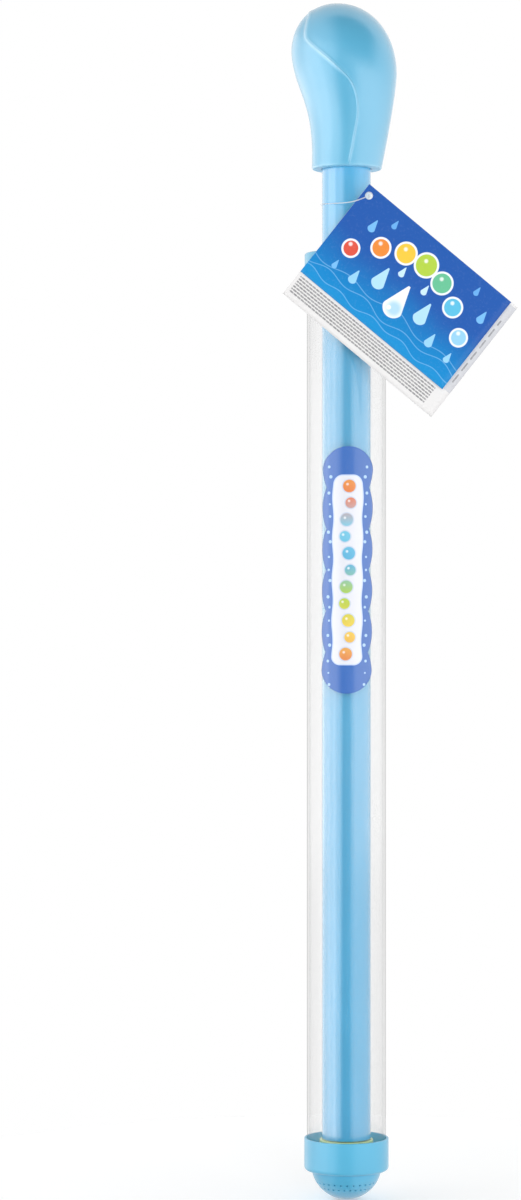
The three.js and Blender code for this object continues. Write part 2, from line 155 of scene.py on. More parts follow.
class TagSizes(PropertyGroup):
    """Sizes of the card tag and its loop"""

    card: length("Card", "Thickness of one card", 0.45)
    hole: length("Hole", "Diameter of the punched hole", 3.4)
    hole_from_spine: length("Hole from spine", "Distance from the left edge to the hole", 3.5)
    hole_from_top: length("Hole from top", "Distance from the top edge to the hole", 4.6)
    hole_side: length("Hole side", "Distance of the hole to the right of the axis", 10.5)
    hole_drop: length("Hole drop", "Distance of the hole below the handle", 16.0)
    cover_width: length("Cover width", "Long side of the printed cover", 91.0)
    cover_height: length("Cover height", "Short side of the printed cover", 53.8)
    leaf_width: length("Leaf width", "Long side of the white leaf", 95.2)
    leaf_height: length("Leaf height", "Short side of the white leaf", 67.4)
    dip: turn("Dip", "How far the tag's long edge dips to the right", 39.8)
    card_drift: share("Card drift", "How far the cards lean sideways for each length down", 0.026)
    card_stretch: share("Card stretch", "Extra length of the cards downwards", 0.02)
    loop: length("Loop", "Thickness of the loop's filament", 0.65)
    loop_gap: length("Loop gap", "Space between the rod and the loop", 0.2)
    loop_fall: length("Loop fall", "How far the loop hangs below the hole", 2.8)
    head: length("Head", "Diameter of the loop's head", 4.0)


class Colours(PropertyGroup):
    """Colours of the plastics and of the prints"""

    blue: paint("Blue plastic", "Cap, collar and dome", 84, 179, 216)
    rod: paint("Rod plastic", "Plunger rod", 82, 178, 224)
    handle: paint("Handle plastic", "Handle shells", 85, 179, 217)
    # Paler colour of the handle's raised line and base edge: wear, and a painted highlight.
    wear_and_highlight: paint("Rubbed plastic", "Raised line on the handle, rubbed paler", 172, 222, 246)
    clear: paint("Clear plastic", "What one face of the tube lets through", 250, 250, 250)
    yellow: paint("Yellow plastic", "Piston", 214, 236, 160)
    rubber: paint("Rubber", "Piston seal", 46, 49, 54)
    film: paint("Label film", "Ground of the label", 52, 106, 186)
    panel: paint("Label panel", "Pale panel on the label", 226, 228, 236)
    card_deep: paint("Cover, upper side", "Deep end of the cover's blend", 30, 88, 172)
    card_bright: paint("Cover, lower side", "Bright end of the cover's blend", 0, 138, 206)
    paper: paint("Paper", "White card", 231, 230, 230)
    loop: paint("Loop", "Loop of the tag", 238, 243, 247)
    floor: paint("Floor", "Studio floor", 226, 226, 226)


# Grids and profiles


def grid_faces(rows, columns, wrap_rows=False, wrap_columns=True):
    """Quads of a grid of points. A cell takes its corner, the next column, the next row's next column and the
    next row, so a face looks out where rows run up and columns run anticlockwise about the axis."""
    row, column = np.meshgrid(
        np.arange(rows if wrap_rows else rows - 1), np.arange(columns if wrap_columns else columns - 1), indexing="ij"
    )
    above, beside = (row + 1) % rows, (column + 1) % columns
    corners = [row * columns + column, row * columns + beside, above * columns + beside, above * columns + column]
    return np.stack(corners, axis=-1).reshape(-1, 4)


def joined(*parts):
    """Several (points, faces) surfaces as one: each part's faces are shifted past the points before it."""
    points = [part[0].reshape(-1, 3) for part in parts]
    starts = np.cumsum([0] + [len(part) for part in points[:-1]])
    return np.concatenate(points), np.concatenate([part[1] + start for part, start in zip(parts, starts)])


def unit(arrows):
    """Each arrow divided by its length."""
    return arrows / np.linalg.norm(arrows, axis=-1, keepdims=True)


def round_angles(sides):
    return np.linspace(0, FULL_TURN, sides, endpoint=False)


def curve(a, b, c, steps):
    """The quadratic curve from a to c with b as its middle control point."""
    s = np.linspace(0, 1, steps + 1)[:, None]
    return (1 - s) ** 2 * a + 2 * s * (1 - s) * b + s**2 * c


def rounded(corners, steps=5):
    """A closed outline with eased corners, from rows of (radius, height, setback). The points one setback before
    and after a corner are joined by the quadratic curve that has the corner as its middle control point. One more
    point just past each end keeps the flats flat in shading."""
    past_end = 1.25
    corners = np.array(corners, dtype=float)
    place, setback = corners[:, None, :2], corners[:, None, 2:]
    before = unit(np.roll(place, 1, axis=0) - place) * setback
    after = unit(np.roll(place, -1, axis=0) - place) * setback
    arc = curve(place + before, place, place + after, steps)
    return np.concatenate([place + before * past_end, arc, place + after * past_end], axis=1).reshape(-1, 2)


def turned(profile, sides=128, closed=True, start=0.0):
    """A profile of radius and height carried round the axis: x = radius * cos, y = radius * sin, z = height. The
    profile runs up its outer side and down its inner side."""
    angle = round_angles(sides) + start
    radius, height = profile[:, :1], profile[:, 1:]
    points = np.stack([radius * np.cos(angle), radius * np.sin(angle), height + 0 * angle], axis=-1)
    return points, grid_faces(len(profile), sides, wrap_rows=closed)


def pipe(node, wall, crown, sides=128):
    """A straight pipe as wide and long as a solid: a profile of four eased corners carried round the axis."""
    low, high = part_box(node)
    bore, ease = high.x - wall, 0.3 * MM
    return turned(rounded([
        (high.x, low.z, ease), (high.x, high.z, crown), (bore, high.z, ease), (bore, low.z, ease)
    ]), sides)


def swept(path, radius, sides=12):
    """A round section carried along a path. Each section stands square to the path; its first arm is the fixed
    upward arm less its part along the path, and its second arm is square to both. Each end closes to a point."""
    along = unit(np.gradient(path, axis=0))
    up = unit(np.array([0.0, 0.0, 1.0]) - along * along[:, 2:])
    side = np.cross(along, up)
    angle = round_angles(sides)[None, :, None]
    points = path[:, None] + radius * (np.cos(angle) * side[:, None] + np.sin(angle) * up[:, None])
    ends = np.repeat(path[[0, -1]][:, None], sides, axis=1)
    return np.concatenate([ends[:1], points, ends[1:]]), grid_faces(len(path) + 2, sides)[:, ::-1]


def new_piece(name, surface, material, plan=None, marks=None):
    """Puts a surface into a mesh, with plan as its flat map and marks as named numbers on its points, where they
    are given. Points that fall together are merged, which closes seams and poles."""
    points, faces = surface
    mesh = bpy.data.meshes.new(name)
    mesh.from_pydata(points.reshape(-1, 3).tolist(), [], faces.tolist())
    if plan is not None:
        corner = np.empty(len(mesh.loops), dtype=np.int32)
        mesh.loops.foreach_get("vertex_index", corner)
        mesh.uv_layers.new(name="plan").data.foreach_set("uv", plan.reshape(-1, 2)[corner].ravel())
    for label, values in (marks or {}).items():
        mesh.attributes.new(label, "FLOAT", "POINT").data.foreach_set("value", values.ravel())
    loose = bmesh.new()
    loose.from_mesh(mesh)
    bmesh.ops.remove_doubles(loose, verts=loose.verts, dist=MERGE)
    loose.to_mesh(mesh)
    loose.free()
    mesh.polygons.foreach_set("use_smooth", np.ones(len(mesh.polygons), dtype=bool))
    mesh.update()
    mesh.materials.append(material)
    piece = bpy.data.objects.new(name, mesh)
    bpy.context.scene.collection.objects.link(piece)
    return piece


def fitted(name, body, node, slot, surface, material, **more):
    """A new piece with the given finish, tied to its body, in place of the solid that it stands for, which is hidden.
    The slot is not used.
    """
    piece = new_piece(name, surface, material, **more)
    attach(piece, body)
    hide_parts(node)
    return piece


# Materials


class Field:
    """A number that varies over a surface, as a socket of a node tree, with the usual signs of arithmetic."""

    def __init__(self, tree, socket):
        self.tree, self.socket = tree, socket

    def fed(self, kind, setting, choice, *others):
        """What a new node with one setting makes of this field and the others."""
        node = self.tree.nodes.new(kind)
        setattr(node, setting, choice)
        for entry, value in zip(node.inputs, (self, *others)):
            feed(self.tree, entry, value)
        return Field(self.tree, node.outputs[0])

    def through(self, operation, *others):
        return self.fed("ShaderNodeMath", "operation", operation, *others)

    def ranged(self, low, high, first, last, kind="LINEAR"):
        """first up to low and last from high on, with an even change between them."""
        return self.fed("ShaderNodeMapRange", "interpolation_type", kind, low, high, first, last)

    __add__ = partialmethod(through, "ADD")
    __sub__ = partialmethod(through, "SUBTRACT")
    __mul__ = partialmethod(through, "MULTIPLY")
    __truediv__ = partialmethod(through, "DIVIDE")
    least = partialmethod(through, "MINIMUM")
    most = partialmethod(through, "MAXIMUM")
    size = partialmethod(through, "ABSOLUTE")
    floor = partialmethod(through, "FLOOR")
    wave = partialmethod(through, "SINE")
    eased = partialmethod(ranged, kind="SMOOTHSTEP")

    def flipped(self):
        return self * -1.0 + 1.0

    def hypot(self, other):
        return (self * self + other * other).through("SQRT")

    def within(self, edge, soft):
        """1 below edge, 0 above it, with a smooth step of width 2 * soft."""
        return self.eased(edge - soft, edge + soft, 1.0, 0.0)


def feed(tree, entry, value):
    """Links a field or a socket to a node's entry, or sets the entry to a plain value."""
    if isinstance(value, Field):
        value = value.socket
    if isinstance(value, bpy.types.NodeSocket):
        tree.links.new(value, entry)
    else:
        entry.default_value = value


def shaded(colour, factor=1.0):
    return (*(min(1.0, channel * factor) for channel in colour), 1.0)


def ink(red, green, blue):
    return shaded(linear(red, green, blue))


class Nodes:
    """A node tree, with short ways to add to it."""

    def __init__(self, tree):
        self.tree = tree

    def add(self, kind, entries=None, **settings):
        node = self.tree.nodes.new(kind)
        for label, value in settings.items():
            setattr(node, label, value)
        for label, value in (entries or {}).items():
            feed(self.tree, node.inputs[label], value)
        return node

    def field(self, node, output):
        return Field(self.tree, node.outputs[output])

    def parts(self, vector):
        """The three numbers of a vector."""
        node = self.add("ShaderNodeSeparateXYZ", {"Vector": vector})
        return [self.field(node, k) for k in range(3)]

    def rays(self, *kinds):
        """For each kind of ray a field that is 1 for such rays and 0 for others."""
        path = self.add("ShaderNodeLightPath")
        return [self.field(path, f"Is {kind} Ray") for kind in kinds]


class Finish(Nodes):
    """A material on the standard surface shader, with short ways to lay patterns on it. Its look is the colour so
    far."""

    def __init__(self, name, **values):
        self.material = bpy.data.materials.new(name)
        self.material.use_nodes = True
        super().__init__(self.material.node_tree)
        self.shader = self.tree.nodes["Principled BSDF"]
        self.look = None
        for label, value in values.items():
            self.set(label.replace("_", " ").title().replace("Ior", "IOR"), value)

    def set(self, label, value):
        feed(self.tree, self.shader.inputs[label], value)

    def place(self, stretch=EVEN):
        """Object coordinates, stretched."""
        spot = self.add("ShaderNodeTexCoord").outputs["Object"]
        return self.add("ShaderNodeMapping", {"Vector": spot, "Scale": stretch}).outputs["Vector"]

    def from_axis(self):
        """Distance from the object's axis."""
        x, y, _ = self.parts(self.place())
        return x.hypot(y)

    def plan(self):
        """The piece's own flat map, as two fields."""
        return self.parts(self.add("ShaderNodeUVMap", uv_map="plan").outputs["UV"])[:2]

    def noise(self, scale, detail=3.0, stretch=EVEN):
        entries = {"Vector": self.place(stretch), "Scale": scale, "Detail": detail}
        return self.field(self.add("ShaderNodeTexNoise", entries), 0)

    def mix(self, mask, first, second):
        return self.add("ShaderNodeMix", {0: mask, 6: first, 7: second}, data_type="RGBA").outputs[2]

    def mottled(self, mask, colour, dark, light):
        """A colour that goes from a darker to a lighter shade of itself with a mask."""
        return self.mix(mask, shaded(colour, dark), shaded(colour, light))

    def layer(self, mask, colour):
        """Lays a colour over the look so far, where the mask is 1."""
        self.look = self.mix(mask, self.look, colour)

    def done(self, roughness, relief=None, depth=0.0):
        """Sets the look, the roughness and a bump that is depth high, and gives the material."""
        self.set("Base Color", self.look)
        self.set("Roughness", roughness)
        if depth:
            bump = self.add("ShaderNodeBump", {"Height": relief, "Distance": depth})
            self.set("Normal", bump.outputs["Normal"])
        return self.material


def moulded_plastic(
    name, colour, roughness, grain=260.0, draw=EVEN, depth=0.0, gloss=1.0, bead=None, solid=1.0, painted_glow_within=None
):
    """Coloured moulding under a polished skin: slow drifts of colour, a fine grain that follows the draw direction
    and duller patches where hands go. A piece with a raised bead gets a paler colour along it and along its base's
    edge, partly wear and partly a painted highlight, and is left matt underneath. A milky piece lets some light
    straight through each face. A thin sleeve gets a painted glow: emission of its own colour on its inner side,
    within a given radius, standing in for light that comes through its wall."""
    coat_roughness, dull_roughness, grain_swing = roughness * 0.8, roughness * 1.2, 0.02
    underside_gloss, painted_glow_level, painted_glow_edge = 0.1 * gloss, 0.34, 0.1 * MM
    finish = Finish(
        name, IOR=SKIN_IOR, Specular_IOR_Level=gloss, Alpha=solid,
        Coat_Weight=gloss, Coat_Roughness=coat_roughness, Coat_IOR=SKIN_IOR,
    )
    drift, handled, skin = finish.noise(28.0, 2.0), finish.noise(70.0, 4.0), finish.noise(grain, 1.0, draw)
    finish.look = finish.mottled(drift, colour, 0.95, 1.04)
    if bead:
        # Paler colour along the mark: wear and a painted highlight along the ridge, and a painted highlight along the
        # base's edge.
        wear_and_highlight_mark = finish.field(finish.add("ShaderNodeAttribute", attribute_name="bead"), "Fac")
        patchy = finish.noise(160.0).ranged(0.3, 0.7, 0.6, 0.9)
        finish.layer(wear_and_highlight_mark * patchy, shaded(bead))
        upward = finish.parts(finish.add("ShaderNodeTexCoord").outputs["Normal"])[2]
        polish = upward.ranged(-0.95, -0.7, underside_gloss, gloss)
        finish.set("Specular IOR Level", polish)
        finish.set("Coat Weight", polish)
    # Painted glow: emission of the moulding's own colour on the inner side of a thin sleeve, standing in for light
    # through its wall.
    if painted_glow_within:
        painted_glow = finish.from_axis().ranged(painted_glow_within, painted_glow_within + painted_glow_edge, painted_glow_level, 0.0)
        finish.set("Emission Color", finish.look)
        finish.set("Emission Strength", painted_glow)
    dulled = handled.ranged(0.3, 0.75, roughness, dull_roughness)
    return finish.done(dulled + skin.ranged(0.3, 0.7, -grain_swing, grain_swing), skin, depth)


def clear_tube_finish(colour, bore, wall):
    """Clear extruded tube: light passes straight through, a little less at a slant, and a soft sheen lies on it,
    with faint lines along the draw direction. The outer skin is the more toned."""
    slant_power, slant_tone, inner_share, streak = 4.0, 0.65, 0.25, 0.02
    sheen_facing, sheen_slanting, sheen_roughness = 0.035, 0.2, 0.16
    finish = Finish("clear_tube")
    lines = finish.noise(330.0, stretch=(1.0, 1.0, 0.012))
    facing = finish.field(finish.add("ShaderNodeLayerWeight", {"Blend": 0.5}), "Facing")
    slant = facing.through("POWER", slant_power)
    cast, fallen = finish.rays("Shadow", "Diffuse")
    skin = finish.from_axis().ranged(bore + 0.3 * wall, bore + 0.7 * wall, inner_share, 1.0)
    streaked = slant * skin + lines.ranged(0.35, 0.65, -streak, streak)
    tint = finish.mix(cast, finish.mottled(streaked, colour, 1.0, slant_tone), WHITE)
    passing = finish.add("ShaderNodeBsdfTransparent", {"Color": tint})
    drawn = finish.add("ShaderNodeBump", {"Height": lines, "Distance": 0.01 * MM})
    gloss = {"Color": WHITE, "Roughness": sheen_roughness, "Normal": drawn.outputs[0]}
    sheen = finish.add("ShaderNodeBsdfGlossy", gloss)
    weight = (slant * sheen_slanting + sheen_facing) * fallen.most(cast).flipped()
    blend = finish.add("ShaderNodeMixShader", {0: weight, 1: passing.outputs[0], 2: sheen.outputs[0]})
    finish.tree.links.new(blend.outputs[0], finish.tree.nodes["Material Output"].inputs["Surface"])
    finish.tree.nodes.remove(finish.shader)
    return finish.material


def rubber_finish(colour):
    """Matt rubber: dust that both shades and dulls it, and a fine grain."""
    finish = Finish("seal_rubber")
    dust = finish.noise(260.0, 6.0)
    finish.look = finish.mottled(dust, colour, 0.8, 1.3)
    return finish.done(dust.ranged(0.3, 0.7, 0.55, 0.75), finish.noise(1800.0), 0.03 * MM)


def label_finish(colours, sizes):
    """Printed film: a periwinkle ground with a pale panel down the middle, a column of coloured dots on the panel
    and pale spots beside it. Distances are in millimetres on the label's flat map."""
    long, wide = sizes.label_length / MM, sizes.label_width / MM
    finish = Finish(
        "label_print", IOR=SKIN_IOR, Specular_IOR_Level=0.6, Coat_Weight=0.6, Coat_Roughness=0.18, Coat_IOR=SKIN_IOR
    )
    across, along = finish.plan()
    x, y = (across - 0.5) * wide, along * long
    from_middle = (y - long / 2).size()
    speck = finish.noise(2600.0, 2.0)
    finish.look = finish.mottled(finish.noise(45.0), colours.film, 0.93, 1.06)
    # Pale spots: one in each cell of two rows beside the panel, moved to and fro along the label.
    cell, row, smallest, soft = 6.4, 9.25, 0.45, 0.12
    step = (y / cell).floor()
    sway = (step * 2.4).wave()
    in_cell = y - (step + 0.5) * cell
    spot = (x.size() - (sway * 0.55 + row)).hypot(in_cell - sway * 0.9) - (sway.size() * 0.4 + smallest)
    finish.layer(spot.within(0.0, soft), ink(168, 205, 243))
    # The panel: a rounded strip whose sides swell gently, with a paler line round it.
    margin, half_width, corner, line = 14.6, 7.0, 4.0, 0.55
    half_panel = long / 2 - margin
    reach = (y * 0.31).wave() * 0.35 + half_width
    beyond = (from_middle - (half_panel - corner)).most(0.0)
    inside = beyond.hypot((x.size() - (reach - corner)).most(0.0)) - corner
    panel = finish.mottled(speck, colours.panel, 0.97, 1.02)
    finish.layer(inside.within(line, soft), ink(196, 214, 245))
    finish.layer(inside.within(0.0, soft), panel)
    # A column of dots, large and small in turn, whose colour follows the label's length.
    pitch, first, radius, soft = 8.3, long / 2 - half_panel + 5.1, 3.5, 0.14
    count = (y - first) / pitch + 0.5
    which = count.floor()
    offset = (count - which - 0.5) * pitch
    swing = (which * math.pi / 2 + 0.4).wave()
    aside = x - swing * 1.5
    dot = aside.hypot(offset) - (swing.size() * -0.9 + radius)
    ramp = finish.add("ShaderNodeValToRGB", {"Fac": y / long})
    stops = ramp.color_ramp.elements
    for k, (position, *hue) in enumerate((
        (0.0, 236, 190, 60), (0.2, 226, 120, 70), (0.33, 120, 200, 226), (0.47, 86, 172, 214),
        (0.6, 170, 205, 70), (0.74, 238, 205, 80), (0.9, 222, 104, 78),
    )):
        stop = stops[k] if k < 2 else stops.new(position)
        stop.position, stop.color = position, ink(*hue)
    on_panel = (from_middle - (half_panel - 0.9)).within(0.0, 0.05)
    dots = dot.within(0.0, soft) * on_panel
    finish.layer((dot.within(line, soft) - dots).most(0.0) * on_panel * 0.55, ink(176, 196, 224))
    finish.layer(dots, ramp.outputs["Color"])
    glint = (aside + 0.9).hypot(offset + 0.9) - 0.6
    finish.layer(glint.within(0.0, 0.3) * dots * 0.6, WHITE)
    return finish.done(speck.ranged(0.3, 0.7, 0.2, 0.26), finish.noise(520.0, 4.0), 0.03 * MM)


def drop(x, y, radius):
    """Distance to a falling drop about the origin: a disc whose upper side tapers, cut off just before the point."""
    narrow = y.ranged(-2.4 * radius, 0.3 * radius, 0.02, 1.0)
    return ((x / narrow).hypot(y.most(0.0)) - radius).most(y * -1.0 - 2.2 * radius)


def cover_finish(colours, sizes):
    """Printed cover card: deep blue above to bright blue below, wave bands along its lower edge, a fountain arc of
    coloured discs, and pale drops. Distances are in millimetres from the card's upper left corner."""
    wide, high = sizes.cover_width / MM, sizes.cover_height / MM
    soft, middle = 0.14, 47.0
    finish = Finish("cover_print", Specular_IOR_Level=0.3, Coat_Weight=0.15, Coat_Roughness=0.18)
    across, down = finish.plan()
    x, y = across * wide, down * high
    cloud = finish.noise(38.0, 4.0)
    fall = (down + (cloud - 0.5) * 0.25).eased(0.38, 1.0, 0.0, 1.0)
    finish.look = finish.mix(fall, shaded(colours.card_deep), shaded(colours.card_bright))
    # Wave bands: everything below a wavy line takes a lighter blue, once for each line.
    for level, height, pace, lag, strength, *hue in (
        (41.0, 1.6, 0.21, 0.4, 0.5, 8, 132, 200),
        (45.4, 1.3, 0.26, 2.1, 0.5, 10, 136, 206),
        (49.6, 1.0, 0.32, 4.0, 0.6, 20, 146, 212),
    ):
        crest = (x * pace + lag).wave() * height + (x * pace * 0.43 + lag).wave() * height * 0.6
        above = crest + level - y
        finish.layer(above.within(0.0, soft) * strength, ink(*hue))
        finish.layer(above.size().within(0.22, soft) * 0.4, ink(150, 208, 242))
    # A fountain: pale-rimmed discs on an arc, smaller towards its ends, each with a glint.
    crown, half_span, sag, largest, shrink, rim = 12.6, 34.5, 17.0, 5.3, 1.6, 1.0
    for k, hue in enumerate((
        (222, 84, 66), (236, 140, 58), (240, 200, 66), (178, 208, 70),
        (104, 192, 150), (92, 190, 226), (150, 208, 240),
    )):
        lean = (k - 3) / 3
        u, v = x - (middle + half_span * lean), y - (crown + sag * lean * lean)
        gap = u.hypot(v) - (largest - shrink * abs(lean))
        finish.layer(gap.within(rim, soft), ink(238, 243, 250))
        finish.layer(gap.within(0.0, soft), ink(*hue))
        shine = (u + 1.4).hypot(v + 1.5) - 0.95
        finish.layer(shine.within(0.0, 0.45) * 0.7, WHITE)
    # Drops round the arc.
    for left, top, radius, *hue in (
        (middle, 38.0, 5.6, 240, 246, 252), (33.5, 33.4, 3.7, 176, 222, 248), (60.5, 33.8, 3.7, 176, 222, 248),
        (22.6, 40.4, 2.3, 150, 208, 246), (71.4, 40.6, 2.3, 150, 208, 246), (39.9, 23.4, 1.7, 198, 230, 250),
        (54.1, 23.2, 1.7, 198, 230, 250), (14.4, 15.6, 2.1, 118, 186, 240), (84.4, 16.0, 2.1, 118, 186, 240),
        (22.6, 8.0, 1.5, 104, 172, 234), (74.6, 7.4, 1.5, 104, 172, 234), (11.4, 41.0, 1.5, 118, 186, 240),
        (83.4, 41.4, 1.7, 150, 208, 246),
    ):
        finish.layer(drop(x - left, y - top, radius).within(0.0, soft), ink(*hue))
    # A hollow and a glint in the large drop.
    hollow = (x - 47.6).hypot(y - 38.7) - 3.5
    finish.layer(hollow.within(0.0, 1.6) * 0.75, ink(150, 208, 246))
    glint = (x - 45.2).hypot(y - 39.8) - 1.05
    finish.layer(glint.within(0.0, 0.4), WHITE)
    fibre = finish.noise(900.0, 5.0)
    finish.layer(fibre.ranged(0.55, 0.8, 0.0, 0.05), ink(206, 222, 240))
    # The cut edge is half bare, and so is the back, which lies on the leaf.
    inner = x.least(y).least((x * -1.0 + wide).least(y * -1.0 + high))
    finish.layer(inner.within(0.06, 0.06) * 0.5, shaded(colours.paper))
    return finish.done(fibre.ranged(0.3, 0.7, 0.34, 0.46), finish.noise(340.0, 5.0), 0.05 * MM)


def leaf_finish(colours, sizes):
    """White leaf: bare card with fibres, a grey strip down its right margin, and rows of short grey dashes along its
    lower and right margins. Distances are in millimetres from the card's upper left corner."""
    wide, high = sizes.leaf_width / MM, sizes.leaf_height / MM
    finish = Finish("leaf_card")
    across, down = finish.plan()
    x, y = across * wide, down * high
    fibre = finish.noise(1100.0, 6.0)
    finish.look = finish.mottled(finish.noise(60.0), colours.paper, 0.95, 1.02)

    def dashes(run, rise, start, stop, first, rows, gap, pitch):
        """Rows of rounded dashes: run along the rows, rise across them."""
        row = ((rise - first) / gap).floor()
        cell = run / pitch + row * 0.37
        off = (cell - cell.floor() - 0.5) * pitch
        bar = (off.size() - pitch * 0.3).most(0.0).hypot(rise - first - (row + 0.5) * gap) - 0.4
        kept = (run - (start + stop) / 2).size().within((stop - start) / 2, 0.02)
        band = (rise - first - rows * gap / 2).size().within(rows * gap / 2 - 0.02, 0.01)
        return bar.within(0.0, 0.12) * kept * band

    lower = dashes(x, y, start=1.6, stop=88.0, first=54.8, rows=7, gap=1.42, pitch=2.3)
    right = dashes(y, x, start=10.0, stop=50.0, first=92.0, rows=1, gap=1.6, pitch=7.0)
    strip = (x - 93.1).size().within(2.1, 0.1) * (y - 27.0).size().within(26.0, 0.1)
    finish.layer(strip * 0.7, ink(196, 199, 207))
    finish.layer(lower.most(right * 0.8) * fibre.ranged(0.25, 0.6, 0.45, 0.8), ink(92, 92, 98))
    return finish.done(fibre.ranged(0.3, 0.7, 0.5, 0.66), fibre, 0.04 * MM)


# Barrel pieces


def spray_surface(centre, radius, wall, flange_radius, flange_low, flange_high, hole):
    """The spray dome. A point of the shell has an angle about the axis and a dip below the equator:
    centre + reach * (cos dip * cos angle, cos dip * sin angle, -sin dip), with reach the outer or inner radius.
    Plain bands are arcs of that, carried round the axis. Each hole sits in a cell: a grid from the hole's circle out
    to the cell's square, on both skins, and a short bore between the two circles."""
    columns, holes, side_steps = 120, 30, 4
    upper_ring, lower_ring, half_cell = 29.5, 40.0, 4.0
    start, inside, ease = -math.pi / 2, radius - wall, 0.1 * MM

    def arc(dips, reach):
        dips = np.radians(dips)
        return np.stack([reach * np.cos(dips), centre - reach * np.sin(dips)], axis=-1)

    def band(profile):
        return turned(profile, columns, closed=False, start=start)

    side, ones = np.linspace(-1, 1, side_steps + 1)[:-1], np.ones(side_steps)
    legs = (side, -ones), (ones, side), (-side, ones), (-ones, -side)
    square = np.concatenate([np.stack(leg, axis=-1) for leg in legs])
    narrow = hole / 2 / radius
    shift = np.arange(holes)[:, None, None] * FULL_TURN / holes + start
    cells = []
    for ring, dip in enumerate(np.radians([upper_ring, lower_ring])):
        circle = unit(square) * [1 / math.cos(dip), 1.0]
        mouth, bore = circle * (narrow + ease / radius), circle * narrow
        corner = square * [math.pi / holes, math.radians(half_cell)]
        rows = [step * corner + (1 - step) * mouth for step in (1.0, 0.5, 0.22, 0.07, 0.0)]
        rim = [((mouth + 2 * bore) / 3, radius - 0.04 * MM), (bore, radius - 0.14 * MM), (bore, inside + ease)]
        stack = [(spot, radius) for spot in rows] + rim + [(spot, inside) for spot in rows[::-1]]
        offset = np.stack([spot for spot, _ in stack])[None]
        reach = np.array([value for _, value in stack])[None, :, None]
        angle, dips = shift + ring * math.pi / holes + offset[..., 0], dip - offset[..., 1]
        flat = reach * np.cos(dips)
        height = centre - reach * np.sin(dips) + 0 * angle
        points = np.stack([flat * np.cos(angle), flat * np.sin(angle), height], axis=-1)
        one_cell = grid_faces(len(stack), len(square))
        first_point = np.arange(holes) * len(stack) * len(square)
        cells.append((points, (one_cell[None] + first_point[:, None, None]).reshape(-1, 4)))
    below = np.concatenate([np.linspace(90, 50, 12), [47.0, lower_ring + half_cell]])
    between = np.linspace(lower_ring - half_cell, upper_ring + half_cell, 3)
    shoulder = math.degrees(math.asin((centre - flange_low) / radius))
    flange = rounded([
        (radius * math.cos(math.radians(shoulder)), flange_low, 0.2 * MM), (flange_radius, flange_low, 0.3 * MM),
        (flange_radius, flange_high, 0.3 * MM), (inside, flange_high, 0.2 * MM),
    ])[9:-9]
    neck = np.concatenate([
        arc(np.linspace(upper_ring - half_cell, shoulder, 9), radius),
        flange,
        arc(np.linspace(3.0, upper_ring - half_cell, 9), inside),
    ])
    profiles = arc(below, radius), arc(between, radius), neck, arc(below[::-1], inside), arc(between[::-1], inside)
    return joined(*(band(profile) for profile in profiles), *cells)


def label_surface(radius, film, top, long, wide, waist, lean, lobes=6):
    """The label: rows down its length, each a closed strip out along its face and back along its underside. Half
    its width is a half ellipse, as seen from the front, near an end, and elsewhere half of (waist + swell), where
    swell is the size of a sine, to the power of 0.8, with one half wave to a lobe. The flat place (across, down)
    wraps onto the barrel as the angle (across + lean) / radius, with the lean falling evenly from top to foot."""
    rows, columns, glue = 420, 28, 0.02 * MM
    down = long * (1 - np.cos(np.linspace(0, math.pi, rows))) / 2
    down = 0.5 * down + 0.5 * np.linspace(0, long, rows)
    lobe = long / lobes
    from_end, end = np.minimum(down, long - down), 0.58 * lobe
    round_end = np.sqrt(np.clip(1 - (1 - np.minimum(from_end / end, 1)) ** 2, 0, None))
    round_end = radius * np.arcsin(round_end * math.sin(wide / 2 / radius))
    swell = np.abs(np.sin(math.pi * down / lobe)) ** 0.8
    half = np.where(from_end < end, round_end, (waist + (wide - waist) * swell) / 2)[:, None]
    across = np.linspace(-1, 1, columns)
    strip = half * np.concatenate([across, across[::-1]])
    face = np.repeat([1.0, 0.0], columns)
    reach = radius + glue + film * face
    bend = (strip + lean * (0.5 - down / long)[:, None]) / radius
    height = (top - down)[:, None] + 0 * bend
    points = np.stack([reach * np.sin(bend), -reach * np.cos(bend), height], axis=-1)
    plan = np.stack([strip / wide + 0.5, down[:, None] / long + BARE * (1 - face)], axis=-1)
    return (points, grid_faces(rows, 2 * columns)[:, ::-1]), plan


# Handle


def spline(points, steps):
    """A smooth line through points: on each stretch a cubic whose end slopes are half the step between the
    neighbours on either side, and the end points count twice."""
    points = np.array(points, dtype=float)
    padded = np.concatenate([points[:1], points, points[-1:]])[:, None]
    before, start, end, after = padded[:-3], padded[1:-2], padded[2:-1], padded[3:]
    t = np.linspace(0, 1, steps, endpoint=False)[None, :, None]
    out, back = (end - before) / 2, (after - start) / 2
    run = (2 * start - 2 * end + out + back) * t**3 + (3 * end - 3 * start - 2 * out - back) * t**2 + out * t + start
    return np.concatenate([run.reshape(-1, points.shape[1]), points[-1:]])


def even_run(path, shares):
    """Places on a path at shares of its length."""
    stretch = np.concatenate([[0.0], np.cumsum(np.linalg.norm(np.diff(path, axis=0), axis=1))])
    return np.stack([np.interp(shares * stretch[-1], stretch, path[:, k]) for k in range(path.shape[1])], axis=-1)


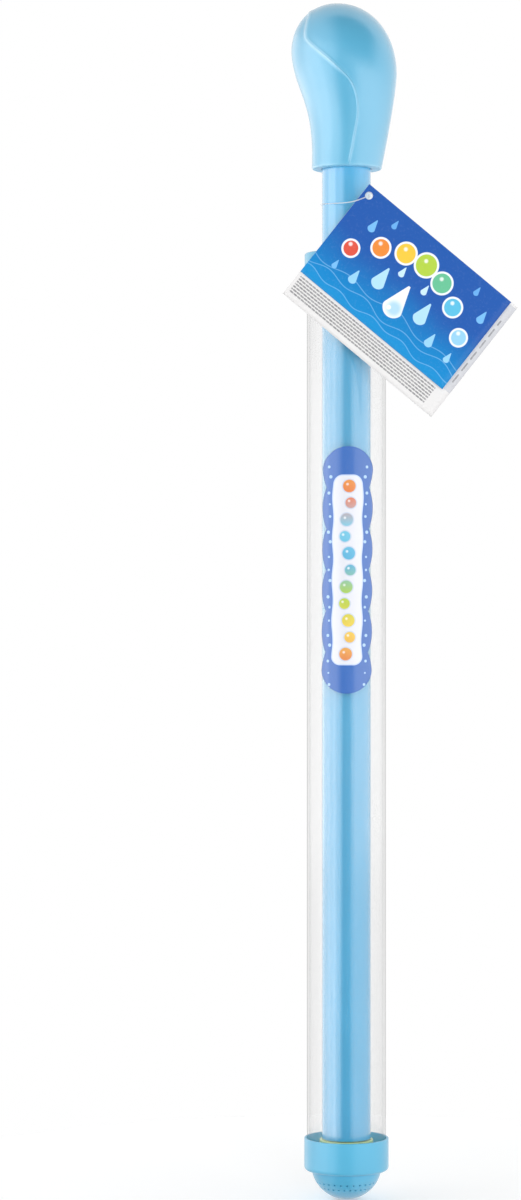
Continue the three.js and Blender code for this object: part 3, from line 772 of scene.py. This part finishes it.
def handle_side(side, base, belly, belly_height, tip, edge, waist, swell):
    """One side of the handle's outline, x and height above the base: a cubic curve from the base to the belly and
    one from the belly to the tip. The lower curve's two inner points, waist and swell, each have a share of the
    spread from the base to the belly and a share of the belly's height. The upper curve's first inner point stands
    above the belly, and its second lies level with the tip."""
    t = np.linspace(0, 1, 400)[:, None]
    rise_share, tip_share = 0.56, 0.6

    def cubic(*points):
        a, b, c, d = np.array(points)
        return (1 - t) ** 3 * a + 3 * (1 - t) ** 2 * t * b + 3 * (1 - t) * t**2 * c + t**3 * d

    def low_point(out, up):
        return side * (base + out * (belly - base)), belly_height * up

    widest = (side * belly, belly_height)
    above_belly = (side * belly, belly_height + rise_share * (tip[1] - belly_height))
    beside_tip = (tip[0] + tip_share * (widest[0] - tip[0]), tip[1])
    lower = cubic((side * base, edge), low_point(*waist), low_point(*swell), widest)
    upper = cubic(widest, above_belly, beside_tip, tip)
    return np.concatenate([lower, upper[1:]])


def handle_rows(sizes, bore, tall):
    """The handle's rings, from the bore's wall down, out across the base, round its edge and up to the tip. Each
    ring has a left and a right place on the outline (x, height) and a half depth."""
    tip, edge, ease = (-sizes.tip_lean, tall), sizes.edge_round, 0.5 * MM
    ring_shares = np.sin(np.linspace(0, math.pi / 2, 170))
    # Below the sides: (how far out from the bore, height), first down the bore, then in steps out to the edge.
    inner = np.concatenate([
        [[0.0, 9.0 * MM], [0.0, 5.0 * MM], [0.0, 1.3 * ease]],
        curve(*np.array([(0.0, ease), (0.0, 0.0), (ease, 0.0)]), 6),
        [[1.3 * ease, 0.0], [2.4 * MM, 0.0]],
    ])
    outlines, feet = [], []
    for side, rim, belly, belly_share, waist, swell in (
        (-1, sizes.rim_left, sizes.belly_left, sizes.belly_left_share, (-0.126, 0.6), (0.864, 0.658)),
        (1, sizes.rim_right, sizes.belly_right, sizes.belly_right_share, (0.38, 0.315), (0.943, 0.785)),
    ):
        round_edge = curve(*np.array([(rim - edge, 0.0), (rim, 0.0), (rim, edge)]), 6)[:-1]
        foot = np.concatenate([inner, [[rim - 1.25 * edge, 0.0]], round_edge])
        low = np.stack([side * (bore + foot[:, 0]), foot[:, 1]], axis=-1)
        path = handle_side(side, bore + rim, belly, belly_share * tall, tip, edge, waist, swell)
        outlines.append(np.concatenate([low, even_run(path, ring_shares)]))
        feet.append(foot[:, 0])
    left, right = outlines
    middle = (feet[0] + feet[1]) / 2
    low_depth = (bore + middle) * (1 + (sizes.depth_ratio - 1) * np.clip(middle / middle[-1], 0, 1))
    depth = sizes.depth_ratio * np.linalg.norm(right - left, axis=1)[len(middle) :] / 2
    return left, right, np.concatenate([low_depth, depth])


def seam_line(sizes, tall):
    """The S-shaped seam in the plane of the outline, from below the base to above the tip."""
    reach, swell = sizes.seam_reach, sizes.seam_swell
    return spline([
        (0.0, -3.0 * MM), (swell * 0.62, tall * 0.165), (swell, tall * 0.335), (swell * 0.42, tall * 0.48),
        (-reach * 0.34, tall * 0.595), (-reach * 0.89, tall * 0.724), (-reach, tall * 0.79),
        (-reach * 0.9, tall * 0.92), (-reach * 0.75, tall * 1.1),
    ], 40)


def handle_surfaces(sizes, bore, base, tall):
    """Both shells of the handle. A ring is an ellipse: middle + across * cos(angle) + depth * sin(angle), where
    across joins the middle to the right-hand place. The seam crosses a ring at a share c of across, so the right
    shell takes the angles within arccos(c) of the right and the left shell takes the rest. Along the seam the
    skin rises by a bell curve of the distance from it, broader on the upper half. Each shell comes with a mark that
    is high along the raised line, for wear and a painted highlight, and along the base's edge, for a painted
    highlight."""
    half_slit, columns, crowding, splits = 0.03 * MM, 150, 0.94, 16
    left, right, depth = handle_rows(sizes, bore, tall)
    middle, across = (left + right) / 2, (right - left) / 2
    width = np.linalg.norm(across, axis=1)
    seam = seam_line(sizes, tall)
    square = np.stack([-across[:, 1], across[:, 0]], axis=-1) / np.maximum(width, 1e-9)[:, None]
    off = np.einsum("nkd,nd->nk", seam[None] - middle[:, None], square)
    crossing = np.argmax(off[:, :-1] * off[:, 1:] <= 0, axis=1)
    rows = np.arange(len(middle))
    first, second = off[rows, crossing], off[rows, crossing + 1]
    part = (first / np.where(first == second, 1.0, first - second))[:, None]
    meet = seam[crossing] + part * (seam[crossing + 1] - seam[crossing])
    c = np.einsum("nd,nd->n", meet - middle, across) / np.maximum(width, 1e-6) ** 2
    last = int(np.argmax(c <= -1.0))
    c[last:] = -1.0
    cut = np.arccos(np.clip(c, -1, 1))

    def ring_points(angle, keep):
        flat = middle[keep][:, None] + across[keep][:, None] * np.cos(angle)[..., None]
        return np.stack([flat[..., 0], depth[keep][:, None] * np.sin(angle), base + flat[..., 1]], axis=-1)

    w = np.linspace(0, 1, columns)
    spaced = w - crowding * np.sin(FULL_TURN * w) / FULL_TURN
    slit = np.minimum(half_slit / np.maximum(width, MM), 0.1)
    every_row, seam_rows = slice(0, len(middle)), slice(0, last + 1)
    ridge = np.concatenate([ring_points(way[seam_rows, None], seam_rows) for way in (cut, -cut)]).reshape(-1, 3)
    shells = []
    for start, end, keep in (
        (np.minimum(cut + slit, math.pi), np.maximum(FULL_TURN - cut - slit, math.pi), seam_rows),
        (-cut + slit, cut - slit, every_row),
    ):
        points = ring_points(start[keep][:, None] + (end - start)[keep][:, None] * spaced[None], keep)
        outward = np.cross(np.gradient(points, axis=1), np.gradient(points, axis=0))
        outward /= np.maximum(np.linalg.norm(outward, axis=-1, keepdims=True), 1e-15)
        flat = points.reshape(-1, 3)
        nearest = np.full(len(flat), 1.0)
        for stretch in np.array_split(ridge, splits):
            gap = np.linalg.norm(flat[:, None] - stretch[None], axis=-1).min(axis=1)
            nearest = np.minimum(nearest, gap)
        height = (points[..., 2] - base) / tall
        broad = sizes.bead_width * (1 + 1.3 * np.clip((height - 0.5) / 0.15, 0, 1))
        bell = np.exp(-((nearest.reshape(height.shape) / broad) ** 2)) * np.clip(height / 0.05, 0, 1)
        points = points + outward * (sizes.bead_height * bell)[..., None]
        # Paler mark: wear and a painted highlight along the bead, and a painted highlight along the base's edge.
        bead_wear_and_highlight = bell**1.5 * (0.3 + 0.7 * np.clip((height - 0.45) / 0.2, 0, 1))
        rim_highlight = 0.6 * np.exp(-(((points[..., 2] - base) / (0.8 * MM)) ** 2))
        surface = points, grid_faces(*points.shape[:2], wrap_columns=False)
        shells.append((surface, np.maximum(bead_wear_and_highlight, rim_highlight)))
    return shells


# Tag


def card_surface(width, height, front, sizes, hole_place, curl):
    """A card with a punched hole. One parameter runs round the hole, the other from the hole's edge out over the
    face to the card's edge, and back over the underside. A place is hole + right * run + up * rise, and the card
    leans forward by curl times the product of its shares along and down, to the power of 1.6, and by a quarter of
    curl times the square of its share along past 0.4."""
    left, top = -sizes.hole_from_spine, sizes.hole_from_top
    side_steps, rings, power = 60, 40, 1.6
    run = np.linspace(0, 1, side_steps, endpoint=False)[:, None]
    corners = np.array([[left, top - height], [left + width, top - height], [left + width, top], [left, top]])
    border = np.concatenate([a + (b - a) * run for a, b in zip(corners, np.roll(corners, -1, axis=0))])
    angle = np.arctan2(border[:, 1], border[:, 0])
    punch = sizes.hole / 2 * np.stack([np.cos(angle), np.sin(angle)], axis=-1)
    reach = np.linspace(0, 1, rings)[:, None, None] ** power
    face = punch[None] + reach * (border - punch)[None]
    flat = np.concatenate([face, face[::-1]])
    under = np.repeat([0.0, 1.0], rings)[:, None]
    share_x, share_y = (flat[..., 0] - left) / width, (top - flat[..., 1]) / height
    forward = curl * np.clip(share_x * share_y, 0, 1) ** power + 0.25 * curl * np.clip(share_x - 0.4, 0, 1) ** 2
    cos, sin = math.cos(sizes.dip), math.sin(sizes.dip)
    run_to, rise_to = flat[..., 0] - sizes.card_drift * flat[..., 1], flat[..., 1] * (1 + sizes.card_stretch)
    points = np.stack([
        hole_place[0] + run_to * cos + rise_to * sin,
        front + sizes.card * under - forward,
        hole_place[1] - run_to * sin + rise_to * cos,
    ], axis=-1)
    plan = np.stack([share_x, share_y + BARE * under], axis=-1)
    return (points, grid_faces(2 * rings, len(border), wrap_rows=True)[:, ::-1]), plan


def eased_run(points, steps):
    """A smooth line through points that are far and near: a cubic on each stretch, worked out by repeated mixing
    with knots spaced by the square root of the distance between points. The end stretches are carried on."""
    points = np.array(points, dtype=float)
    padded = np.concatenate([[2 * points[0] - points[1]], points, [2 * points[-1] - points[-2]]])
    knot = np.concatenate([[0.0], np.cumsum(np.sqrt(np.linalg.norm(np.diff(padded, axis=0), axis=1)))])
    k0, k1, k2, k3 = (knot[i : len(knot) - 3 + i][:, None, None] for i in range(4))
    p0, p1, p2, p3 = (padded[i : len(padded) - 3 + i][:, None] for i in range(4))
    k = k1 + (k2 - k1) * np.linspace(0, 1, steps, endpoint=False)[None, :, None]

    def between(a, b, low, high):
        return a + (b - a) * (k - low) / (high - low)

    a1, a2, a3 = between(p0, p1, k0, k1), between(p1, p2, k1, k2), between(p2, p3, k2, k3)
    b1, b2 = between(a1, a2, k0, k2), between(a2, a3, k1, k3)
    return np.concatenate([between(b1, b2, k1, k2).reshape(-1, 3), points[-1:]])


# Operators


def sizes_of(context):
    return [getattr(context.scene, label) for label in GROUPS]


class SQUIRTER_OT_tube(Operator):
    """Build the clear tube of the barrel"""

    bl_idname = "squirter.tube"
    bl_label = "Clear tube"

    def execute(self, context):
        sizes, _, _, colours = sizes_of(context)
        wall = sizes.tube_wall
        look = clear_tube_finish(colours.clear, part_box("barrel_tube")[1].x - wall, wall)
        surface = pipe("barrel_tube", wall, 0.3 * MM, 160)
        fitted("clear_tube", "barrel", "barrel_tube", "clear_barrel", surface, look)
        return {"FINISHED"}


class SQUIRTER_OT_mouldings(Operator):
    """Build the guide cap, the nozzle collar and the spray dome"""

    bl_idname = "squirter.mouldings"
    bl_label = "Barrel mouldings"

    def execute(self, context):
        sizes, _, _, colours = sizes_of(context)
        look = {"colour": colours.blue, "roughness": 0.31, "gloss": 0.5}
        plastic = moulded_plastic("moulded_blue", **look)
        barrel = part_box("barrel_tube")[1].x
        sleeve = barrel + sizes.glue_gap
        rod_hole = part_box("plunger_rod")[1].x + sizes.running_gap
        low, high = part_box("guide_cap")
        plate, boss = high.z - sizes.cap_plate, rod_hole + sizes.guide_wall
        guide = plate - sizes.guide_length
        cap = turned(rounded([
            (high.x, low.z, 0.3 * MM), (high.x, high.z, 0.9 * MM), (rod_hole, high.z, 0.5 * MM),
            (rod_hole, guide, 0.4 * MM), (boss, guide, 0.4 * MM), (boss, plate, 0.4 * MM),
            (sleeve, plate, 0.1 * MM), (sleeve, low.z, 0.2 * MM),
        ]))
        fitted("guide_cap_moulding", "barrel", "guide_cap", "blue_plastic", cap, plastic)

        low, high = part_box("nozzle_collar")
        dome_low, dome_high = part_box("spray_dome")
        radius = barrel - sizes.dome_step
        centre = dome_low.z + radius
        lip = low.z + sizes.collar_lip
        lip_hole = math.sqrt(radius**2 - (centre - lip) ** 2) + sizes.running_gap
        collar = turned(rounded([
            (high.x, low.z, sizes.collar_round), (high.x, high.z, 0.4 * MM), (sleeve, high.z, 0.3 * MM),
            (sleeve, lip, 0.1 * MM), (lip_hole, lip, 0.2 * MM), (lip_hole, low.z, 0.35 * MM),
        ], 7))
        # The collar's inner wall gets a painted glow.
        collar_with_painted_glow = moulded_plastic("collar_blue", **look, painted_glow_within=sleeve + 0.02 * MM)
        fitted("nozzle_collar_moulding", "barrel", "nozzle_collar", "blue_plastic", collar, collar_with_painted_glow)

        dome = spray_surface(
            centre, radius, sizes.dome_wall, dome_high.x,
            dome_high.z - sizes.dome_flange, dome_high.z, sizes.spray_hole,
        )
        fitted("spray_dome_moulding", "barrel", "spray_dome", "blue_plastic", dome, plastic)
        return {"FINISHED"}


class SQUIRTER_OT_label(Operator):
    """Build the scalloped label on the barrel"""

    bl_idname = "squirter.label"
    bl_label = "Barrel label"

    def execute(self, context):
        sizes, _, _, colours = sizes_of(context)
        surface, plan = label_surface(
            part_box("barrel_tube")[1].x, sizes.label_film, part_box("barrel_label")[1].z,
            sizes.label_length, sizes.label_width, sizes.label_waist, sizes.label_lean,
        )
        look = label_finish(colours, sizes)
        fitted("scalloped_label", "barrel", "barrel_label", "label_film", surface, look, plan=plan)
        return {"FINISHED"}


class SQUIRTER_OT_plunger(Operator):
    """Build the plunger rod, the piston and its seal"""

    bl_idname = "squirter.plunger"
    bl_label = "Plunger"

    def execute(self, context):
        sizes, _, _, colours = sizes_of(context)
        # The rod is extruded: its grain is drawn out along it.
        drawn = moulded_plastic("rod_blue", colours.rod, 0.155, 900.0, draw=(1.0, 1.0, 0.01), depth=0.008 * MM)
        surface = pipe("plunger_rod", sizes.rod_wall, 0.4 * MM)
        fitted("plunger_rod_tube", "plunger", "plunger_rod", "rod_plastic", surface, drawn)

        seal_low, seal_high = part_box("piston_seal")
        section = (seal_high.z - seal_low.z) / 2
        angle = round_angles(20)
        ring = turned(np.stack([
            seal_high.x - section + section * np.cos(angle), (seal_low.z + seal_high.z) / 2 + section * np.sin(angle)
        ], axis=-1))
        fitted("piston_seal_ring", "seal", "piston_seal", "seal_rubber", ring, rubber_finish(colours.rubber))

        rod_low, rod_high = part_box("plunger_rod")
        low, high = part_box("piston_core")
        disc, seal_gap, rod_gap, disc_thick, hub_step = high.x, 0.25 * MM, 0.3 * MM, 1.2 * MM, 1.15 * MM
        groove_low, groove_high = seal_low.z - seal_gap, seal_high.z + seal_gap
        groove = seal_high.x - 2 * section - seal_gap
        hub_low, hub_high = groove_high + disc_thick, rod_low.z - rod_gap
        hub, spigot = rod_high.x + hub_step, rod_high.x - sizes.rod_wall - rod_gap
        core = turned(rounded([
            (0.0, low.z, 0.0), (disc, low.z, 0.4 * MM), (disc, groove_low, 0.25 * MM),
            (groove, groove_low, 0.2 * MM), (groove, groove_high, 0.2 * MM), (disc, groove_high, 0.25 * MM),
            (disc, hub_low, 0.3 * MM), (hub, hub_low, 0.4 * MM), (hub, hub_high, 0.6 * MM),
            (spigot, hub_high, 0.3 * MM), (spigot, high.z, 0.6 * MM), (0.0, high.z, 0.0),
        ]), closed=False)
        yellow = moulded_plastic("moulded_yellow", colours.yellow, 0.38, gloss=0.5)
        fitted("piston_moulding", "plunger", "piston_core", "yellow_plastic", core, yellow)
        return {"FINISHED"}


class SQUIRTER_OT_handle(Operator):
    """Build the two shells of the knob handle"""

    bl_idname = "squirter.handle"
    bl_label = "Handle shells"

    def execute(self, context):
        barrel, sizes, _, colours = sizes_of(context)
        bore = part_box("plunger_rod")[1].x + barrel.running_gap
        low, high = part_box("handle_right_shell")
        crown_drop = 1.2 * MM
        plastic = moulded_plastic("handle_blue", colours.handle, 0.31, bead=colours.wear_and_highlight)
        shells = handle_surfaces(sizes, bore, low.z, high.z - crown_drop - low.z)
        for side, (surface, bead) in zip(("left", "right"), shells):
            shell = fitted(
                f"handle_{side}_moulding", "plunger", f"handle_{side}_shell", "handle_plastic",
                surface, plastic, marks={"bead": bead},
            )
            wall = shell.modifiers.new("wall", "SOLIDIFY")
            wall.thickness, wall.offset = sizes.shell_wall, -1.0
        return {"FINISHED"}


class SQUIRTER_OT_tag(Operator):
    """Build the two cards of the hang tag"""

    bl_idname = "squirter.tag"
    bl_label = "Hang tag cards"

    def execute(self, context):
        _, _, sizes, colours = sizes_of(context)
        hole_place = (sizes.hole_side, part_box("handle_left_shell")[0].z - sizes.hole_drop)
        for node, slot, width, height, curl, finish in (
            ("tag_leaf", "tag_paper", sizes.leaf_width, sizes.leaf_height, 0.5 * MM, leaf_finish),
            ("tag_cover", "tag_print", sizes.cover_width, sizes.cover_height, 1.0 * MM, cover_finish),
        ):
            surface, plan = card_surface(width, height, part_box(node)[0].y, sizes, hole_place, curl)
            fitted(f"{node}_card", "hang_tag", node, slot, surface, finish(colours, sizes), plan=plan)
        return {"FINISHED"}


class SQUIRTER_OT_loop(Operator):
    """Build the plastic loop that ties the tag round the rod"""

    bl_idname = "squirter.loop"
    bl_label = "Tag loop"

    def execute(self, context):
        _, _, sizes, colours = sizes_of(context)
        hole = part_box("handle_left_shell")[0].z - sizes.hole_drop
        half_thick, off_card, dimple = 0.65 * MM, 0.3 * MM, 0.35 * MM
        head = np.array([sizes.hole_side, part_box("tag_cover")[0].y - off_card - half_thick, hole])
        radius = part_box("plunger_rod")[1].x + sizes.loop_gap + sizes.loop / 2
        # From the head down to the left, round the rod and up again to the back of the hole.
        angle = np.radians(np.arange(240, -1, -30))
        fall = 0.8 * sizes.loop_fall * (angle / angle[0]) ** 1.2
        round_rod = np.stack([radius * np.cos(angle), radius * np.sin(angle), hole - fall], axis=-1)
        clear_of_card = sizes.hole_from_spine + sizes.hole_from_top
        behind_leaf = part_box("tag_leaf")[1].y + 2.0 * MM
        path = eased_run(np.concatenate([
            head + [
                [0.0, 0.0, 0.0],
                [-sizes.head, -0.25 * MM, -0.58 * sizes.loop_fall],
                [-clear_of_card, 1.0 * MM, -sizes.loop_fall],
            ],
            round_rod,
            [[sizes.hole_side, behind_leaf, hole], head],
        ]), 16)
        # The head: a button with a dimple, turned about the axis and then laid on its back.
        reach, floor = sizes.head / 2, half_thick - dimple
        button, faces = turned(rounded([
            (0.0, -half_thick, 0.0), (reach, -half_thick, 0.45 * MM), (reach, half_thick, 0.45 * MM),
            (0.75 * MM, half_thick, 0.3 * MM), (0.5 * MM, floor, 0.2 * MM), (0.0, floor, 0.0),
        ]), 40, closed=False)
        button = np.stack([button[..., 0], -button[..., 2], button[..., 1]], axis=-1) + head
        surface = joined(swept(path, sizes.loop / 2), (button, faces))
        milky = moulded_plastic("loop_plastic", colours.loop, 0.3, 900.0, gloss=0.5, solid=0.38)
        fitted("tag_loop", "hang_tag", "tag_fastener", "loop_plastic", surface, milky)
        return {"FINISHED"}


class SQUIRTER_OT_stage(Operator):
    """Build the floor, the lamps, the surroundings and the camera"""

    bl_idname = "squirter.stage"
    bl_label = "Studio"

    def execute(self, context):
        scene = context.scene
        scene.view_settings.view_transform = "Standard"
        self.floor(scene.squirter_colours.floor)
        self.lamps(scene)
        self.surroundings(scene)
        self.camera(scene)
        return {"FINISHED"}

    def floor(self, colour):
        """A disc of rings under the object, lifted towards white where it is seen and left out of reflections."""
        rings, sides, radius, lift = 12, 96, 0.26, 0.365
        finish = Finish("studio_floor", Specular_IOR_Level=0.0, Emission_Color=WHITE)
        finish.look = finish.mottled(finish.noise(30.0), colour, 0.99, 1.01)
        camera, glossy, through = finish.rays("Camera", "Glossy", "Transmission")
        finish.set("Emission Strength", camera.most(glossy).most(through) * lift)
        profile = np.stack([np.linspace(0.0, radius, rings), np.full(rings, CAD_BOX[0][2])], axis=-1)
        points, faces = turned(profile, sides, closed=False)
        floor = new_piece("studio_floor", (points, faces[:, ::-1]), finish.done(0.9))
        floor.visible_glossy = False

    def lamps(self, scene):
        """Tall soft boxes in a ring round the object. A box spans two bearings from the front and two heights, and has
        a distance and a brightness. The boxes show in the gloss, and the fills don't."""
        for name, start, end, bottom, top, away, level in (
            ("left_front_box", -54.0, -20.0, -0.5, 0.7, 0.9, 0.25),
            ("left_low_box", -64.0, -28.0, -0.5, 0.3, 0.9, 0.28),
            ("left_side_box", -95.0, -54.0, -0.5, 0.7, 0.9, 0.9),
            ("left_back_box", -150.0, -95.0, -0.5, 0.7, 0.9, 0.4),
            ("left_rim_box", -150.0, -88.0, -0.15, 0.24, 0.9, 0.36),
            ("right_mid_box", 22.0, 75.0, -0.15, 0.24, 0.9, 0.42),
            ("right_rim_box", 75.0, 130.0, -0.15, 0.24, 0.9, 0.42),
            ("right_fill", 30.0, 100.0, -0.5, 0.25, 0.9, 0.85),
            ("front_fill", -4.0, 21.0, -0.5, 0.7, 1.9, 4.6),
            ("back_fill", 150.0, 210.0, -0.5, 0.7, 0.9, 1.2),
        ):
            lamp = bpy.data.lights.new(name, "AREA")
            wide = 2 * away * math.tan(math.radians(end - start) / 2)
            lamp.shape, lamp.size, lamp.size_y = "RECTANGLE", wide, top - bottom
            lamp.energy = level * wide * (top - bottom) * LAMP_POWER
            holder = bpy.data.objects.new(name, lamp)
            angle = math.radians(start + end) / 2
            holder.location = (away * math.sin(angle), -away * math.cos(angle), (bottom + top) / 2)
            holder.rotation_euler = (math.pi / 2, 0.0, angle)
            holder.visible_camera = holder.visible_transmission = False
            holder.visible_glossy = name.endswith("box")
            scene.collection.objects.link(holder)

    def surroundings(self, scene):
        """White all round for what is seen, mirrored or seen through. Mirrored light has a dim band in front, a little
        to the right. Its edges lean to the right as they rise, each in its own way. It is wider above eye level,
        paler at eye level, and ends overhead. A plain low level falls on the object."""
        bearing, plain_level = math.radians(6.0), 0.4
        world = bpy.data.worlds.new("studio")
        world.use_nodes = True
        scene.world = world
        nodes = Nodes(world.node_tree)
        x, y, z = nodes.parts(nodes.add("ShaderNodeTexCoord").outputs["Generated"])
        aside = x * math.cos(bearing) + y * math.sin(bearing)
        ahead = x * math.sin(bearing) - y * math.cos(bearing)
        wide = z.eased(0.1, 0.17, 0.0, 1.0)

        def edge(slip, stretch, shift, *fade):
            """One edge: it slips sideways with height, and moves out by a stretch and a shift where it is wide."""
            return ((aside - slip) * (wide * -stretch + 1.0) - wide * shift).eased(*fade)

        left = edge(z.most(-0.16).least(0.16) * 1.15, 0.63, 0.227, -0.52, -0.3, 0.0, 1.0)
        right = edge(z.eased(0.06, 0.17, -0.15, 0.184), 0.3, 0.1, 0.28, 0.45, 1.0, 0.0)
        dim = left * right * ahead.eased(0.0, 0.15, 0.0, 1.0)
        depth = z.size().eased(0.05, 0.13, 0.68, 0.9)
        mirrored = (dim * depth).flipped()
        camera, glossy, through = nodes.rays("Camera", "Glossy", "Transmission")
        falling = camera.most(glossy).most(through).flipped() * plain_level
        background = world.node_tree.nodes["Background"]
        background.inputs["Color"].default_value = WHITE
        feed(nodes.tree, background.inputs["Strength"], camera.most(through).most(glossy * mirrored) + falling)

    def camera(self, scene):
        camera = bpy.data.cameras.new("photo_camera")
        camera.lens, camera.sensor_width = 96.0, 36.0
        camera.clip_start, camera.clip_end = 0.05, 30.0
        holder = bpy.data.objects.new("photo_camera", camera)
        holder.location = (-0.04295, -1.6, 0.0557)
        holder.rotation_euler = (math.pi / 2, 0.0, 0.0)
        scene.collection.objects.link(holder)
        scene.camera = holder


STEPS = (
    SQUIRTER_OT_tube,
    SQUIRTER_OT_mouldings,
    SQUIRTER_OT_label,
    SQUIRTER_OT_plunger,
    SQUIRTER_OT_handle,
    SQUIRTER_OT_tag,
    SQUIRTER_OT_loop,
    SQUIRTER_OT_stage,
)


class SQUIRTER_PT_panel(Panel):
    """Lists the squirter's pieces, sizes and colours"""

    bl_label = "Water squirter"
    bl_space_type = "VIEW_3D"
    bl_region_type = "UI"
    bl_category = "Squirter"

    def draw(self, context):
        for step in STEPS:
            self.layout.operator(step.bl_idname)
        for group in sizes_of(context):
            box = self.layout.box()
            for entry in group.bl_rna.properties:
                if entry.identifier not in ("rna_type", "name"):
                    box.prop(group, entry.identifier)


GROUPS = {
    "squirter_barrel": BarrelSizes,
    "squirter_handle": HandleSizes,
    "squirter_tag": TagSizes,
    "squirter_colours": Colours,
}


def register():
    for group in (*GROUPS.values(), *STEPS, SQUIRTER_PT_panel):
        bpy.utils.register_class(group)
    for label, group in GROUPS.items():
        setattr(bpy.types.Scene, label, PointerProperty(type=group))


def unregister():
    for label in GROUPS:
        delattr(bpy.types.Scene, label)
    for group in (SQUIRTER_PT_panel, *STEPS[::-1], *GROUPS.values()):
        bpy.utils.unregister_class(group)


def main():
    register()
    for step in STEPS:
        family, action = step.bl_idname.split(".")
        getattr(getattr(bpy.ops, family), action)()


if __name__ == "__main__":
    main()
